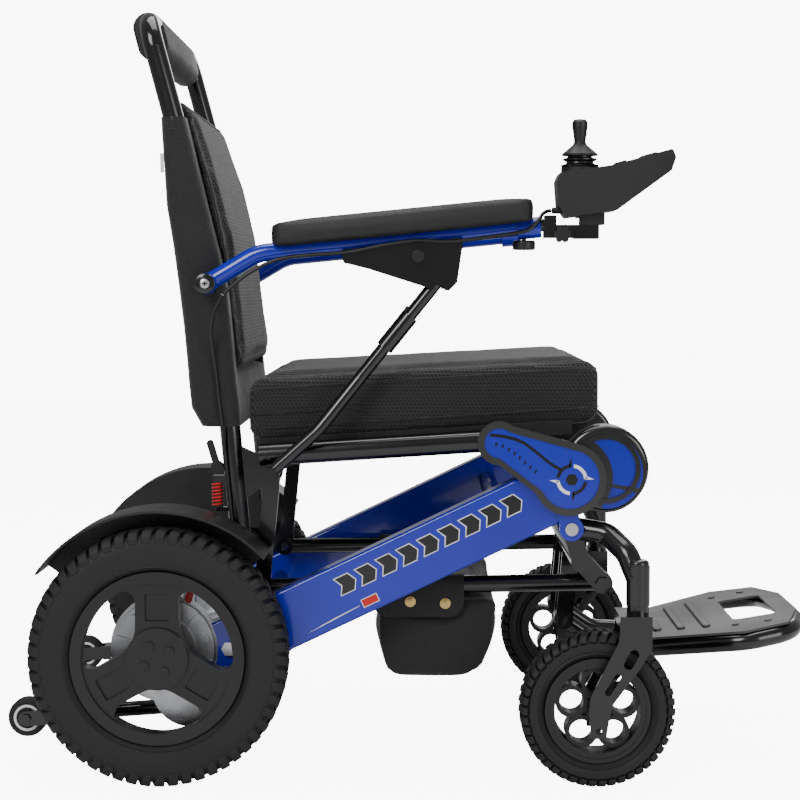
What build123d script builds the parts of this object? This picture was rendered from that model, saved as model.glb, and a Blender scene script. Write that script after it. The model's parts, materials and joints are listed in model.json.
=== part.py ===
"""Folding power wheelchair: box-beam chassis, hub-side motors, tucking front frame and padded seat.

Frame: +X points to the front of the chair, +Z is up, and the chair's right-hand side is -Y.
The origin lies on the floor, under the middle of the whole chair. All sizes are in millimetres.
"""
from build123d import *
import os
from math import atan2, cos, degrees, hypot, radians, sin, tan

os.makedirs("parts", exist_ok=True)

# ---------------------------------------------------------------- clearances
RUN = 0.05          # radial clearance of every turning pin in its bore
SOFT = 0.4          # gap that keeps soft goods off their neighbours
SLIDE = 0.5         # gap round each sliding battery
TOUCH = 0.3         # gap between parts that sit side by side and move

# ---------------------------------------------------------------- drive wheels
REAR_TYRE_R = 159.0
REAR_TYRE_W = 57.0
REAR_RIM_R = 106.6
REAR_WINDOW_R = 92.6
REAR_SPOKE_W = 53.0
REAR_SPOKE_T = 20.0
REAR_TRACK_Y = 282.0
REAR_AXLE_X = -315.3
HUB_R = 38.0
HUB_BOLT_PCR = 18.0
SHAFT_R = 10.0

# ---------------------------------------------------------------- front castors
CASTER_TYRE_R = 95.0
CASTER_TYRE_W = 50.0
CASTER_RIM_R = 64.6
CASTER_TRACK_Y = 277.0
SWIVEL_X = 271.3
CASTER_TRAIL = 50.0
FORK_GAP = 31.3       # wheel mid-plane to the inner face of a fork plate
FORK_PLATE = 3.7
CROWN_Z = 213.0       # top of the fork crown
HOUSING_Z = 222.0     # lower face of the swivel housing
HOUSING_TOP = 271.0
HOUSING_R = 14.5
STEM_R = 9.0
AXLE_R = 6.0

# ---------------------------------------------------------------- side beams
BEAM_ANGLE = 25.6
BEAM_H = 72.6
BEAM_W = 38.0
BEAM_WALL = 3.0
BEAM_Y = 229.0
BEAM_X = -157.9       # a point on the beam's centre line
BEAM_Z = 198.2
BEAM_REAR = -108.0    # beam ends, measured along its centre line from that point
BEAM_FRONT = 379.0
TAB_T = 5.7

# ---------------------------------------------------------------- pivots (X, Z)
FRONT_PIVOT = (191.6, 312.0)    # front frame on the beams
COVER_PIVOT = (105.0, 420.0)    # seat rails on the drive covers
BACK_PIVOT = (-181.0, 380.0)    # back frame, rear links and struts on the seat rails
BAR_FRONT = (235.0, 236.0)      # lower bars on the front frame
BAR_REAR = (-196.0, 228.0)      # lower bars beside the rear links
FOOT_PIVOT = (196.0, 167.0)     # footplate on its hanger
ARM_PIVOT = (-259.0, 614.6)     # armrest on the back tube
STRUT_TOP = (28.0, 620.0)       # strut in the armrest bracket
PIN_R = 6.0

COVER_REACH = 83.5              # from the seat pivot to the drive cover's front lobe
COVER_DROP = 45.5
COVER_LOBE_R = 45.0
COVER_TIP_R = 27.0

# ---------------------------------------------------------------- frame tubes
BACK_TUBE_R = 13.0
BACK_TUBE_Y = 205.0
RAIL_R = 14.0
RAIL_Y = 225.0
RAIL_SLOPE = 3.7
RAIL_REAR_X = -196.0
BAR_R = 11.0
BAR_Y = 187.0
LINK_Y = (199.0, 204.5)
LINK_W = 20.0
PLATE_Y = (205.0, 210.0)
ARM_Y = 240.0
ARM_TUBE_R = 11.0
STRUT_R = 8.0
STRUT_Y = -249.3
CROSS_R = 12.5

# ---------------------------------------------------------------- cushions
CUSHION_HALF = 215.0
CUSHION_REAR_X = -215.0
CUSHION_FRONT_X = 232.0
CUSHION_BOTTOM_Z = 413.8
CUSHION_T = 83.0
CUSHION_RISE = 28.9
BACK_CUSHION_HALF = 204.0
RECESS_HALF = 186.0     # half the width of the sleeve's recess for the cushion
PAD_X = (-179.0, 144.0)
PAD_W = 56.0
PAD_T = 31.0
PAD_Y = 250.0

# ---------------------------------------------------------------- footplate
FOOT_TILT = 9.5
FOOT_REAR_X = 300.0
FOOT_REAR_Z = 131.0
FOOT_LENGTH = 209.0
FOOT_TUBE_R = 12.0

# ---------------------------------------------------------------- anti-tip wheels
TIP_X = -493.5
TIP_Z = 65.3
TIP_R = 24.6
TIP_W = 22.0
TIP_Y = 206.0

# ---------------------------------------------------------------- controller
CTRL_HALF = 32.0
CTRL_Y = 240.0
STICK_X = 200.0
STICK_Z = 749.0


# ================================================================ helpers
def on_plate(sketch, y_a, y_b):
    """Extrude an XZ sketch between two Y values."""
    return extrude(Plane.XZ.offset(-max(y_a, y_b)) * sketch, amount=abs(y_a - y_b), dir=(0, -1, 0))


def outline(points, corner=0.0):
    """Filled polygon, with all its corners rounded when a radius is given."""
    face = make_face(Polyline(*points, close=True))
    return fillet(face.vertices(), corner) if corner else face


def y_rod(radius, centre, y_a, y_b):
    """Cylinder along Y at an (x, z) centre."""
    return Pos(centre[0], (y_a + y_b) / 2, centre[1]) * Rot(90, 0, 0) * Cylinder(radius, abs(y_a - y_b))


def hexagon(radius, centre, y_a, y_b):
    """Hexagonal bolt head or nut along Y."""
    return on_plate(Pos(centre[0], centre[1]) * RegularPolygon(radius, 6), y_a, y_b)


def capsule(a, b, width, y_a, y_b):
    """Flat link with round ends, between two (x, z) centres."""
    length = hypot(b[0] - a[0], b[1] - a[1])
    turn = degrees(atan2(b[1] - a[1], b[0] - a[0]))
    middle = Pos((a[0] + b[0]) / 2, (a[1] + b[1]) / 2) * Rot(0, 0, turn)
    return on_plate(middle * SlotCenterToCenter(length, width), y_a, y_b)


def bent_bar(points, bends, radius):
    """Round bar along straight runs joined by tangent arcs."""
    path = FilletPolyline(*points, radius=bends) if len(points) > 2 else Line(*points)
    return sweep(Plane(origin=path @ 0, z_dir=path % 0) * Circle(radius), path=path)


def left(shape):
    """The left-hand copy of a right-hand piece."""
    return mirror(shape, about=Plane.XZ)


def both(shape):
    """The right-hand piece with its left-hand copy, as separate solids."""
    return Compound(children=list(shape.solids()) + list(left(shape).solids()))


def group(*shapes):
    """Several separate solids in one node."""
    return Compound(children=[solid for shape in shapes for solid in shape.solids()])


def save(name, shape):
    """Write one node."""
    export_step(shape, f"parts/{name}.step")


def beam_point(along, up=0.0):
    """(x, z) of a point on the beam, along its centre line and square to it."""
    a = radians(BEAM_ANGLE)
    return (BEAM_X + along * cos(a) - up * sin(a), BEAM_Z + along * sin(a) + up * cos(a))


def rail_z(x):
    """Height of the seat rail's centre line."""
    return COVER_PIVOT[1] + (x - COVER_PIVOT[0]) * tan(radians(RAIL_SLOPE))


REAR_AXLE = (REAR_AXLE_X, REAR_TYRE_R)
CASTER_AXLE = (SWIVEL_X - CASTER_TRAIL, CASTER_TYRE_R)
GEAR_CENTRE = (REAR_AXLE_X + 32.0, REAR_TYRE_R - 51.0)
LEVER_PIVOT = (REAR_AXLE_X + 31.0, REAR_TYRE_R + 62.0)
MOTOR_R = 63.0
GEAR_R = 48.0
BEAM_OUT = BEAM_Y + BEAM_W / 2
BEAM_IN = BEAM_Y - BEAM_W / 2
BATTERY_S = 434.6     # battery head along the beam
BATTERY_HEAD_R = 54.0


# ================================================================ chassis
def beam():
    """Right side beam: box section with the front frame's pivot tabs and a motor saddle."""
    middle = beam_point((BEAM_REAR + BEAM_FRONT) / 2)
    length = BEAM_FRONT - BEAM_REAR
    place = Pos(middle[0], -BEAM_Y, middle[1]) * Rot(0, -BEAM_ANGLE, 0)
    shell = Box(length, BEAM_W, BEAM_H)
    shell = fillet(shell.edges().filter_by(Axis.X), 4)
    shell -= Box(length + 2, BEAM_W - 2 * BEAM_WALL, BEAM_H - 2 * BEAM_WALL)
    solid = place * shell
    solid -= y_rod(MOTOR_R + 5.2, REAR_AXLE, -BEAM_OUT - 5, -BEAM_IN + 5)
    solid -= y_rod(GEAR_R + 0.2, GEAR_CENTRE, -BEAM_OUT - 5, -BEAM_IN + 5)
    x, z = FRONT_PIVOT
    tab = outline([(x - 20, z + 34), (x - 12, z - 8), (x + 12, z - 8), (x + 7, z + 34)], 3)
    tab += Pos(x, z) * Circle(15)
    outer = on_plate(tab, -BEAM_OUT - TAB_T, -BEAM_OUT)
    inner = on_plate(tab, -BEAM_IN, -BEAM_IN + TAB_T)
    solid += outer + inner
    return solid - y_rod(PIN_R + RUN, FRONT_PIVOT, -BEAM_OUT - 20, -BEAM_IN + 20)


def cover_outline(inset=0.0):
    """Two-lobed outline of the drive cover, a large front lobe and a small upper one."""
    x, z = COVER_PIVOT
    front = Pos(x + COVER_REACH, z - COVER_DROP) * Circle(COVER_LOBE_R - inset)
    upper = Pos(x - 3, z - 1) * Circle(COVER_TIP_R - inset)
    bridge = make_face(Polyline((x - 4, z + 25 - inset), (x + 86, z - inset), (x + 54, z - 72 + inset),
                                (x - 6, z - 26 + inset), close=True))
    return front + upper + bridge


def drive_cover():
    """Right drive cover: raised bezel round a sunk face, bored for the seat rail's pin."""
    face = cover_outline()
    solid = on_plate(face, -262, -BEAM_OUT - 1)
    solid -= on_plate(cover_outline(8.5), -262, -260)
    x, z = FRONT_PIVOT
    pocket = Pos(x - 2, -BEAM_OUT - TAB_T / 2 - 0.3, z + 30) * Box(46, TAB_T + 0.8, 42)
    solid -= pocket
    return solid - y_rod(PIN_R + RUN, COVER_PIVOT, -257, -BEAM_OUT)


def motor():
    """Right drive motor: cast end disc, gear lobe, motor can and the wheel's output shaft."""
    x, z = REAR_AXLE
    body = y_rod(MOTOR_R, REAR_AXLE, -241, -205) + y_rod(MOTOR_R + 5, REAR_AXLE, -235, -226)
    body += y_rod(GEAR_R, GEAR_CENTRE, -238, -186)
    body += y_rod(40, REAR_AXLE, -246, -241)
    body += Pos(x - 2, -211, z + 78) * Box(34, 28, 50)
    body += y_rod(37, GEAR_CENTRE, -186, -108) + y_rod(30, GEAR_CENTRE, -108, -96)
    for turn in range(15, 360, 60):
        a = radians(turn)
        spot = (x + 53 * cos(a), z + 53 * sin(a))
        body += y_rod(5.5, spot, -244, -240)
    for turn in range(45, 360, 60):
        rib = Pos(x, z) * Rot(0, 0, turn) * Pos(51.5, 0) * Rectangle(21, 3)
        body += on_plate(rib, -243.5, -240)
    body += y_rod(SHAFT_R - RUN, REAR_AXLE, -296, -246)
    lug_x, lug_z = LEVER_PIVOT
    body += Pos(lug_x, -222, lug_z - 3) * Box(14, 26, 18)
    return body - y_rod(3 + RUN, LEVER_PIVOT, -236, -214)


def clutch_lever():
    """Right free-wheel lever: short arm with a grip tab, on a pin in the motor's lug."""
    x, z = LEVER_PIVOT
    arm = capsule((x, z), (x + 3, z + 14), 9, -239, -235.3)
    knob = on_plate(outline([(x - 3, z + 14), (x + 9, z + 14), (x + 10, z + 25), (x - 2, z + 25)], 2),
                    -241, -232)
    return arm + knob + y_rod(3, (x, z), -235.3, -216)


def fender():
    """Right mudguard: arched band with a flat inner wall, seated on the motor's top lug."""
    x, z = REAR_AXLE
    reach = 181.0
    band = Circle(reach) - Circle(reach - 3)
    sector = outline([
        (0, 0), (2 * reach * cos(radians(43)), 2 * reach * sin(radians(43))), (0, 3 * reach),
        (2 * reach * cos(radians(145)), 2 * reach * sin(radians(145))),
    ])
    arch = on_plate(Pos(x, z) * (band & sector), -305, -225)
    disc = (Circle(reach) & sector) - Pos(0, -reach + 91) * Rectangle(3 * reach, 2 * reach)
    wall = on_plate(Pos(x, z) * disc, -228, -225)
    return arch + wall


def anti_tip_arm():
    """Right anti-tip arm: tube from the gear case to a clevis round the small wheel."""
    arm = bent_bar([(TIP_X + 36, -TIP_Y, TIP_Z + 3), (-322, -TIP_Y, TIP_Z + 13)], 0, 9.5)
    yoke = Pos(TIP_X + 33, -TIP_Y, TIP_Z + 2) * Box(10, TIP_W + 11, 20)
    for y_a, y_b in ((-TIP_Y - TIP_W / 2 - 5, -TIP_Y - TIP_W / 2 - 1),
                     (-TIP_Y + TIP_W / 2 + 1, -TIP_Y + TIP_W / 2 + 5)):
        yoke += capsule((TIP_X, TIP_Z), (TIP_X + 31, TIP_Z + 2), 19, y_a, y_b)
    axle = y_rod(4, (TIP_X, TIP_Z), -TIP_Y - TIP_W / 2 - 5, -TIP_Y + TIP_W / 2 + 5)
    head = hexagon(6.5, (TIP_X, TIP_Z), -TIP_Y - TIP_W / 2 - 9, -TIP_Y - TIP_W / 2 - 5)
    return arm + yoke + axle + head


def rear_frame():
    """Cross tubes that join the two beams, with both anti-tip arms."""
    low = y_rod(CROSS_R, beam_point(-52), -BEAM_IN, BEAM_IN)
    high = y_rod(CROSS_R, beam_point(290), -BEAM_IN, BEAM_IN)
    right = anti_tip_arm() - y_rod(GEAR_R, GEAR_CENTRE, -238, -186)
    right -= y_rod(MOTOR_R + 5, REAR_AXLE, -241, -203)
    return group(low, high, both(right.solids().sort_by(SortBy.VOLUME)[-1]))


def bolts():
    """Bolt heads on the chassis: beam pivots, motor saddles and mudguards."""
    pieces = []
    pieces.append(y_rod(8, FRONT_PIVOT, -BEAM_OUT - TAB_T - 4.5, -BEAM_OUT - TAB_T))
    saddle = beam_point(-84, -1)
    pieces.append(hexagon(9.5, saddle, -BEAM_OUT - 4.4, -BEAM_OUT) + y_rod(7, saddle, -BEAM_OUT - 5, -BEAM_OUT))
    pieces.append(y_rod(5, beam_point(-70, 27), -BEAM_OUT - 3, -BEAM_OUT))
    for shift in (-12, 9):
        pieces.append(y_rod(4.5, (REAR_AXLE_X + shift, REAR_TYRE_R + 96), -231, -228))
    return group(*[both(piece) for piece in pieces])


def rear_tyre():
    """Solid drive tyre with rounded shoulders."""
    mid = (REAR_TYRE_R + REAR_RIM_R) / 2
    section = Pos(mid, 0) * RectangleRounded(REAR_TYRE_R - REAR_RIM_R, REAR_TYRE_W, 13)
    ring = revolve(section, Axis.Y)
    return Pos(REAR_AXLE[0], -REAR_TRACK_Y, REAR_AXLE[1]) * ring


def spoke_window(reach, width, inner, outer):
    """Opening between two of three spokes, with a wide inner bend and tight outer corners."""
    tip = width / 2 / sin(radians(60))
    wedge = outline([(0, -tip), (-3 * reach * cos(radians(30)), -tip - 3 * reach * sin(radians(30))),
                     (3 * reach * cos(radians(30)), -tip - 3 * reach * sin(radians(30)))])
    window = Circle(reach) & wedge
    window = fillet(window.vertices().sort_by(Axis.Y)[-1:], inner)
    low = window.vertices().sort_by(Axis.Y)[:2]
    return fillet(low, outer)


def rear_rim():
    """Three-spoke drive rim: barrel, spokes with sunk pads, hub disc, bore and hub bolts."""
    outer = -REAR_TRACK_Y - 24
    inner = -REAR_TRACK_Y + 25
    barrel = on_plate(Circle(REAR_RIM_R) - Circle(REAR_WINDOW_R + 6), outer, inner)
    flange = on_plate(Circle(REAR_RIM_R) - Circle(REAR_WINDOW_R), outer, outer + 6)
    web = Circle(REAR_WINDOW_R + 7)
    opening = spoke_window(REAR_WINDOW_R, REAR_SPOKE_W, 42, 13)
    for turn in (0, 120, 240):
        web -= Rot(0, 0, turn) * opening
    body = barrel + flange + on_plate(web, outer + 3, outer + 3 + REAR_SPOKE_T)
    for turn in (90, 210, 330):
        pad = Rot(0, 0, turn) * Pos(63, 0) * RectangleRounded(34, 29, 3)
        body -= on_plate(pad, outer + 2, outer + 6.5)
    body += on_plate(Circle(HUB_R), outer - 1, outer + 6)
    body += on_plate(Circle(24), outer + 20, -252)
    for turn in (120, 32, 209, 300):
        spot = Rot(0, 0, turn) * Pos(HUB_BOLT_PCR, 0) * Circle(6)
        body += on_plate(spot, outer - 3, outer)
    body = Pos(REAR_AXLE[0], 0, REAR_AXLE[1]) * body
    return body - y_rod(SHAFT_R, REAR_AXLE, -297, -250)


def anti_tip_wheel():
    """Small anti-tip wheel with a bore and a face groove."""
    centre = (TIP_X, TIP_Z)
    wheel = y_rod(TIP_R, centre, -TIP_Y - TIP_W / 2, -TIP_Y + TIP_W / 2)
    wheel = fillet(wheel.edges().filter_by(GeomType.CIRCLE), 5)
    for y_a in (-TIP_Y - TIP_W / 2, -TIP_Y + TIP_W / 2 - 2):
        wheel -= y_rod(17, centre, y_a, y_a + 2) - y_rod(13.5, centre, y_a, y_a + 2)
    return wheel - y_rod(4 + RUN, centre, -TIP_Y - 20, -TIP_Y + 20)


def battery():
    """Right battery: bar that slides in the beam, with a drum-shaped head and pull rim."""
    head_centre = beam_point(BATTERY_S)
    head = y_rod(BATTERY_HEAD_R, head_centre, -243, -203)
    head = fillet(head.edges().filter_by(GeomType.CIRCLE), 7)
    rim = y_rod(43, head_centre, -246, -243) - y_rod(37, head_centre, -247, -242)
    start = BEAM_FRONT - 300
    stop = BATTERY_S - 44
    middle = beam_point((start + stop) / 2)
    inner_w = BEAM_W - 2 * BEAM_WALL - 2 * SLIDE
    inner_h = BEAM_H - 2 * BEAM_WALL - 2 * SLIDE
    bar = Pos(middle[0], -BEAM_Y, middle[1]) * Rot(0, -BEAM_ANGLE, 0) * Box(stop - start, inner_w, inner_h)
    return head + rim + bar


# ================================================================ front frame
def front_arm():
    """Right front arm: pivot hub, curved tube and castor housing."""
    x, z = FRONT_PIVOT
    hub_y = (-BEAM_OUT + 0.4, -BEAM_IN - 0.4)
    y = -CASTER_TRACK_Y
    arm = y_rod(12, FRONT_PIVOT, *hub_y)
    route = [(x + 9, -231, z - 2), (x + 45, -242, z - 7), (x + 67, -266, z - 28), (x + 78, y, z - 56)]
    arm += bent_bar(route, [22, 22], 14)
    arm += Pos(SWIVEL_X, y, (HOUSING_Z + HOUSING_TOP) / 2) * Cylinder(HOUSING_R, HOUSING_TOP - HOUSING_Z)
    cap = Pos(SWIVEL_X, y, HOUSING_TOP + 3) * Cylinder(HOUSING_R - 1, 8)
    arm += fillet(cap.edges().filter_by(GeomType.CIRCLE).sort_by(Axis.Z)[-1], 5)
    arm += y_rod(PIN_R, FRONT_PIVOT, -BEAM_OUT - TAB_T, -BEAM_IN + TAB_T)
    depth = HOUSING_TOP - 6 - HOUSING_Z
    return arm - Pos(SWIVEL_X, y, HOUSING_Z + depth / 2) * Cylinder(STEM_R + RUN, depth)


def front_frame():
    """Front frame: both arms, the cross tube, the lower bars' lugs and the footrest hanger."""
    x, z = FRONT_PIVOT
    cross = (x + 13.4, z - 44)
    frame = front_arm() + left(front_arm())
    frame += y_rod(CROSS_R, cross, -236, 236)
    side = capsule(FRONT_PIVOT, cross, 22, -236, -226)
    lugs = Part()
    for y_a, y_b in ((-BAR_Y - BAR_R - 6, -BAR_Y - BAR_R - 1), (-BAR_Y + BAR_R + 1, -BAR_Y + BAR_R + 6)):
        lugs += capsule(cross, BAR_FRONT, 24, y_a, y_b)
    lugs += y_rod(PIN_R, BAR_FRONT, -BAR_Y - BAR_R - 3, -BAR_Y + BAR_R + 3)
    lugs += hexagon(9.5, BAR_FRONT, -BAR_Y - BAR_R - 12, -BAR_Y - BAR_R - 6)
    hanger = Part()
    for y_a in (-81, -46):
        hanger += capsule(cross, FOOT_PIVOT, 22, y_a, y_a + 6)
    hanger += y_rod(PIN_R, FOOT_PIVOT, -84, -37)
    for piece in (side, lugs, hanger):
        frame += piece + left(piece)
    return frame


def caster_fork():
    """Right castor fork: two plates, crown, swivel stem and washer."""
    x, z = CASTER_AXLE
    y = -CASTER_TRACK_Y
    edge = [
        (64, 118), (64, 79), (49, 54), (18, 12), (13, -5), (9, -31), (-9, -31), (-12, 2),
        (-10, 20), (23, 86), (25, 98), (25, 118),
    ]
    plate = make_face(Polyline(*[(x + dx, z + dz) for dx, dz in edge], close=True))
    slot = Pos(x + 17, z + 35) * Rot(0, 0, 58) * SlotOverall(30, 8)
    window = Pos(x + 39, z + 66) * Rot(0, 0, 62) * SlotOverall(26, 12)
    plate = plate - slot - window - Pos(x, z - 22) * Circle(4)
    fork = on_plate(plate, y - FORK_GAP - FORK_PLATE, y - FORK_GAP)
    fork += on_plate(plate, y + FORK_GAP, y + FORK_GAP + FORK_PLATE)
    crown = Pos(x + 44.5, y, CROWN_Z - 7) * Box(39, 2 * (FORK_GAP + FORK_PLATE), 14)
    fork += crown
    fork += Pos(SWIVEL_X, y, CROWN_Z + 4.3) * Cylinder(HOUSING_R - 1, HOUSING_Z - TOUCH - CROWN_Z)
    stem_top = HOUSING_TOP - 8
    fork += Pos(SWIVEL_X, y, (CROWN_Z + stem_top) / 2) * Cylinder(STEM_R, stem_top - CROWN_Z)
    fork += y_rod(AXLE_R, CASTER_AXLE, y - FORK_GAP - 2, y + FORK_GAP + 2)
    for side in (-1, 1):
        face = y + side * FORK_GAP
        fork += y_rod(10, CASTER_AXLE, face, face - side * 3)
    return fork


def caster_tyre():
    """Castor tyre with rounded shoulders."""
    mid = (CASTER_TYRE_R + CASTER_RIM_R) / 2
    section = Pos(mid, 0) * RectangleRounded(CASTER_TYRE_R - CASTER_RIM_R, CASTER_TYRE_W, 12)
    return Pos(CASTER_AXLE[0], -CASTER_TRACK_Y, CASTER_AXLE[1]) * revolve(section, Axis.Y)


def caster_rim():
    """Castor rim: barrel, five looped spokes and a bored hub."""
    web = Circle(CASTER_RIM_R) - Circle(CASTER_RIM_R - 12)
    loops = Circle(15)
    for turn in range(18, 360, 72):
        loop = Pos(33, 0) * (Circle(20) - Circle(14.5))
        loops += Rot(0, 0, turn) * loop
    loops -= Circle(8)
    barrel = on_plate(Circle(CASTER_RIM_R) - Circle(CASTER_RIM_R - 5), -21, 21)
    rim = barrel + on_plate(web, -20, 20) + on_plate(loops, -14, 14)
    rim += on_plate(Circle(13) - Circle(8), -FORK_GAP + 3.4, FORK_GAP - 3.4)
    rim += on_plate(Circle(8.5), -FORK_GAP + 3.4, FORK_GAP - 3.4)
    rim = Pos(CASTER_AXLE[0], -CASTER_TRACK_Y, CASTER_AXLE[1]) * rim
    return rim - y_rod(AXLE_R + RUN, CASTER_AXLE, -CASTER_TRACK_Y - 40, -CASTER_TRACK_Y + 40)


# ================================================================ footplate
def foot_place():
    """Frame of the tilted footplate, with X running forward along it."""
    return Pos(FOOT_REAR_X, 0, FOOT_REAR_Z) * Rot(0, -FOOT_TILT, 0)


def footplate_frame():
    """Footplate ring tube with two hinged arms."""
    long = FOOT_LENGTH
    ring = [(0, -84, 0), (130, -148, 0), (190, -132, 0), (long, -60, 0),
            (long, 60, 0), (190, 132, 0), (130, 148, 0), (0, 84, 0)]
    path = FilletPolyline(*ring, radius=[20, 50, 45, 60, 60, 45, 50, 20], close=True)
    loop = sweep(Plane(origin=path @ 0, z_dir=path % 0) * Circle(FOOT_TUBE_R), path=path)
    frame = foot_place() * loop
    x, z = FOOT_PIVOT
    y = -60.5
    arm = y_rod(13, FOOT_PIVOT, y - 14.2, y + 14.2)
    arm += bent_bar([(x, y, z), (x + 48, y, z - 33), (FOOT_REAR_X + 4, y - 4, FOOT_REAR_Z)], [40], 9)
    arm -= y_rod(PIN_R + RUN, FOOT_PIVOT, y - 20, y + 20)
    return frame + arm + left(arm)


def footplate_tread():
    """Footplate tread: flared plate with a front opening, three ribs and four studs."""
    long = FOOT_LENGTH
    half = [(-4, 92), (128, 154), (188, 139), (long + 4, 62)]
    shape = outline([(x, -y) for x, y in half] + [(x, y) for x, y in reversed(half)], 9)
    shape -= Pos(156, 0) * RectangleRounded(58, 140, 8)
    low = FOOT_TUBE_R + 0.05
    tread = extrude(Pos(0, 0, low) * shape, amount=3)
    for x, reach in ((26, 66), (56, 80), (88, 92)):
        rib = extrude(Pos(x, 0, low + 3) * SlotOverall(2 * reach, 11, rotation=90), amount=3)
        tread += chamfer(rib.edges().group_by(Axis.Z)[-1], 1.5)
    for x, y in ((124, 104), (166, 110)):
        for side in (-1, 1):
            tread += Pos(x, side * y, low + 3.5) * Cylinder(5, 2)
    return foot_place() * tread


# ================================================================ lower bars, bag and links
def lower_bar():
    """Right lower bar with an eye at each end."""
    y_a, y_b = -BAR_Y - BAR_R, -BAR_Y + BAR_R
    bar = bent_bar([(BAR_REAR[0], -BAR_Y, BAR_REAR[1]), (BAR_FRONT[0], -BAR_Y, BAR_FRONT[1])], 0, BAR_R)
    bar += y_rod(13.5, BAR_FRONT, y_a, y_b) + y_rod(12, BAR_REAR, y_a, y_b)
    bar -= y_rod(PIN_R + RUN, BAR_FRONT, y_a - 1, y_b + 1)
    return bar - y_rod(PIN_R, BAR_REAR, y_a - 1, y_b + 1)


def seat_bag():
    """Storage bag slung under the lower bars, as one closed soft block."""
    edge = [(-54, 219), (-54, 165), (-45, 122), (-28, 110), (62, 110), (88, 124), (104, 165), (109, 219)]
    return on_plate(outline(edge, 9), -196, 196)


def rear_link():
    """Right rear link, hung from the back pivot."""
    link = capsule(BACK_PIVOT, BAR_REAR, LINK_W, -LINK_Y[1], -LINK_Y[0])
    link -= y_rod(PIN_R + RUN, BACK_PIVOT, -220, -190)
    return link - y_rod(PIN_R + 2, BAR_REAR, -220, -190)


# ================================================================ seat
def seat_frame():
    """Seat frame: two rails with pivot pins and rear lugs, and two cross tubes."""
    x0, x1 = RAIL_REAR_X, COVER_PIVOT[0]
    ends = ((x0, -RAIL_Y, rail_z(x0)), (x1, -RAIL_Y, rail_z(x1)))
    rail = bent_bar(ends, 0, RAIL_R)
    rail += y_rod(RAIL_R, COVER_PIVOT, -RAIL_Y - RAIL_R, -RAIL_Y + RAIL_R)
    rail += y_rod(PIN_R, COVER_PIVOT, -256, -RAIL_Y)
    x, z = BACK_PIVOT
    lug = outline([(x - 14, z), (x - 14, rail_z(x)), (x + 24, rail_z(x)), (x + 14, z)])
    lug += Pos(x, z) * Circle(14)
    rail += on_plate(lug, -231, -219)
    rail -= y_rod(PIN_R + RUN, BACK_PIVOT, -245, -205)
    frame = rail + left(rail)
    for cross_x in (-120, 60):
        frame += y_rod(10, (cross_x, rail_z(cross_x)), -RAIL_Y, RAIL_Y)
    return frame


def seat_cushion():
    """Seat cushion as one closed soft block."""
    slope = CUSHION_RISE / (CUSHION_FRONT_X - CUSHION_REAR_X)
    x0, x1 = CUSHION_REAR_X, CUSHION_FRONT_X
    z0 = CUSHION_BOTTOM_Z
    edge = [(x0, z0), (105, z0 + 21), (x1, z0 + 23.7), (x1, z0 + slope * (x1 - x0) + CUSHION_T - 5),
            (x0, z0 + CUSHION_T)]
    block = on_plate(outline(edge, 20), -CUSHION_HALF, CUSHION_HALF)
    return fillet(block.edges().group_by(Axis.Y)[0] + block.edges().group_by(Axis.Y)[-1], 12)


# ================================================================ back
BACK_LINE = [(-222, 295), (-234.5, 431), (-252.6, 611), (-302.4, 818), (-335.4, 942)]


def back_x(z):
    """X of the back tube's centre line at a height."""
    for (x0, z0), (x1, z1) in zip(BACK_LINE, BACK_LINE[1:]):
        if z <= z1:
            return x0 + (x1 - x0) * (z - z0) / (z1 - z0)
    return BACK_LINE[-1][0]


def back_route():
    """Points of the back frame's hoop, up the right side, over the top and down the left."""
    y = BACK_TUBE_Y
    side = [(x, -y, z) for x, z in BACK_LINE]
    return side + [(x, y, z) for x, z in reversed(BACK_LINE)]


BACK_BENDS = [400, 500, 400, 34, 34, 400, 500, 400]


def back_frame():
    """Back frame hoop with pivot plates, pins, armrest bosses and the fold lock's foot."""
    frame = bent_bar(back_route(), BACK_BENDS, BACK_TUBE_R)
    x, z = BACK_PIVOT
    edge = [(x - 2, z + 13), (back_x(z + 36), z + 36), (back_x(z - 44), z - 44), (x - 2, z - 13)]
    plate = on_plate(outline(edge) + Pos(x, z) * Circle(13), -PLATE_Y[1], -PLATE_Y[0])
    end = STRUT_Y - STRUT_R
    plate += y_rod(PIN_R, BACK_PIVOT, end - 1, -198)
    plate += hexagon(9.5, BACK_PIVOT, end - 5, end - TOUCH) + y_rod(9, BACK_PIVOT, -198.6, -194)
    plate += y_rod(13, ARM_PIVOT, -224.5, -BACK_TUBE_Y) + y_rod(PIN_R, ARM_PIVOT, -253, -BACK_TUBE_Y)
    plate += hexagon(9.5, ARM_PIVOT, -258, -251.6)
    lock_x = back_x(340) - BACK_TUBE_R
    foot = Pos(lock_x - 5, -BACK_TUBE_Y, 331) * Box(16, 12, 5) + Pos(lock_x - 7, -BACK_TUBE_Y, 369) * Box(20, 13, 9)
    foot += Pos(lock_x - 8, -BACK_TUBE_Y, 350) * Cylinder(3, 40)
    frame += plate + left(plate)
    return frame + foot


def fold_lever():
    """Fold-lock release lever, hinged above the lock spring."""
    x = back_x(384) - BACK_TUBE_R - 8
    lever = capsule((x, 384), (x - 9, 414), 8, -BACK_TUBE_Y - 5, -BACK_TUBE_Y + 5)
    return lever + y_rod(8 - TOUCH, (x, 384), -BACK_TUBE_Y - 6, -BACK_TUBE_Y + 6)


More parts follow.
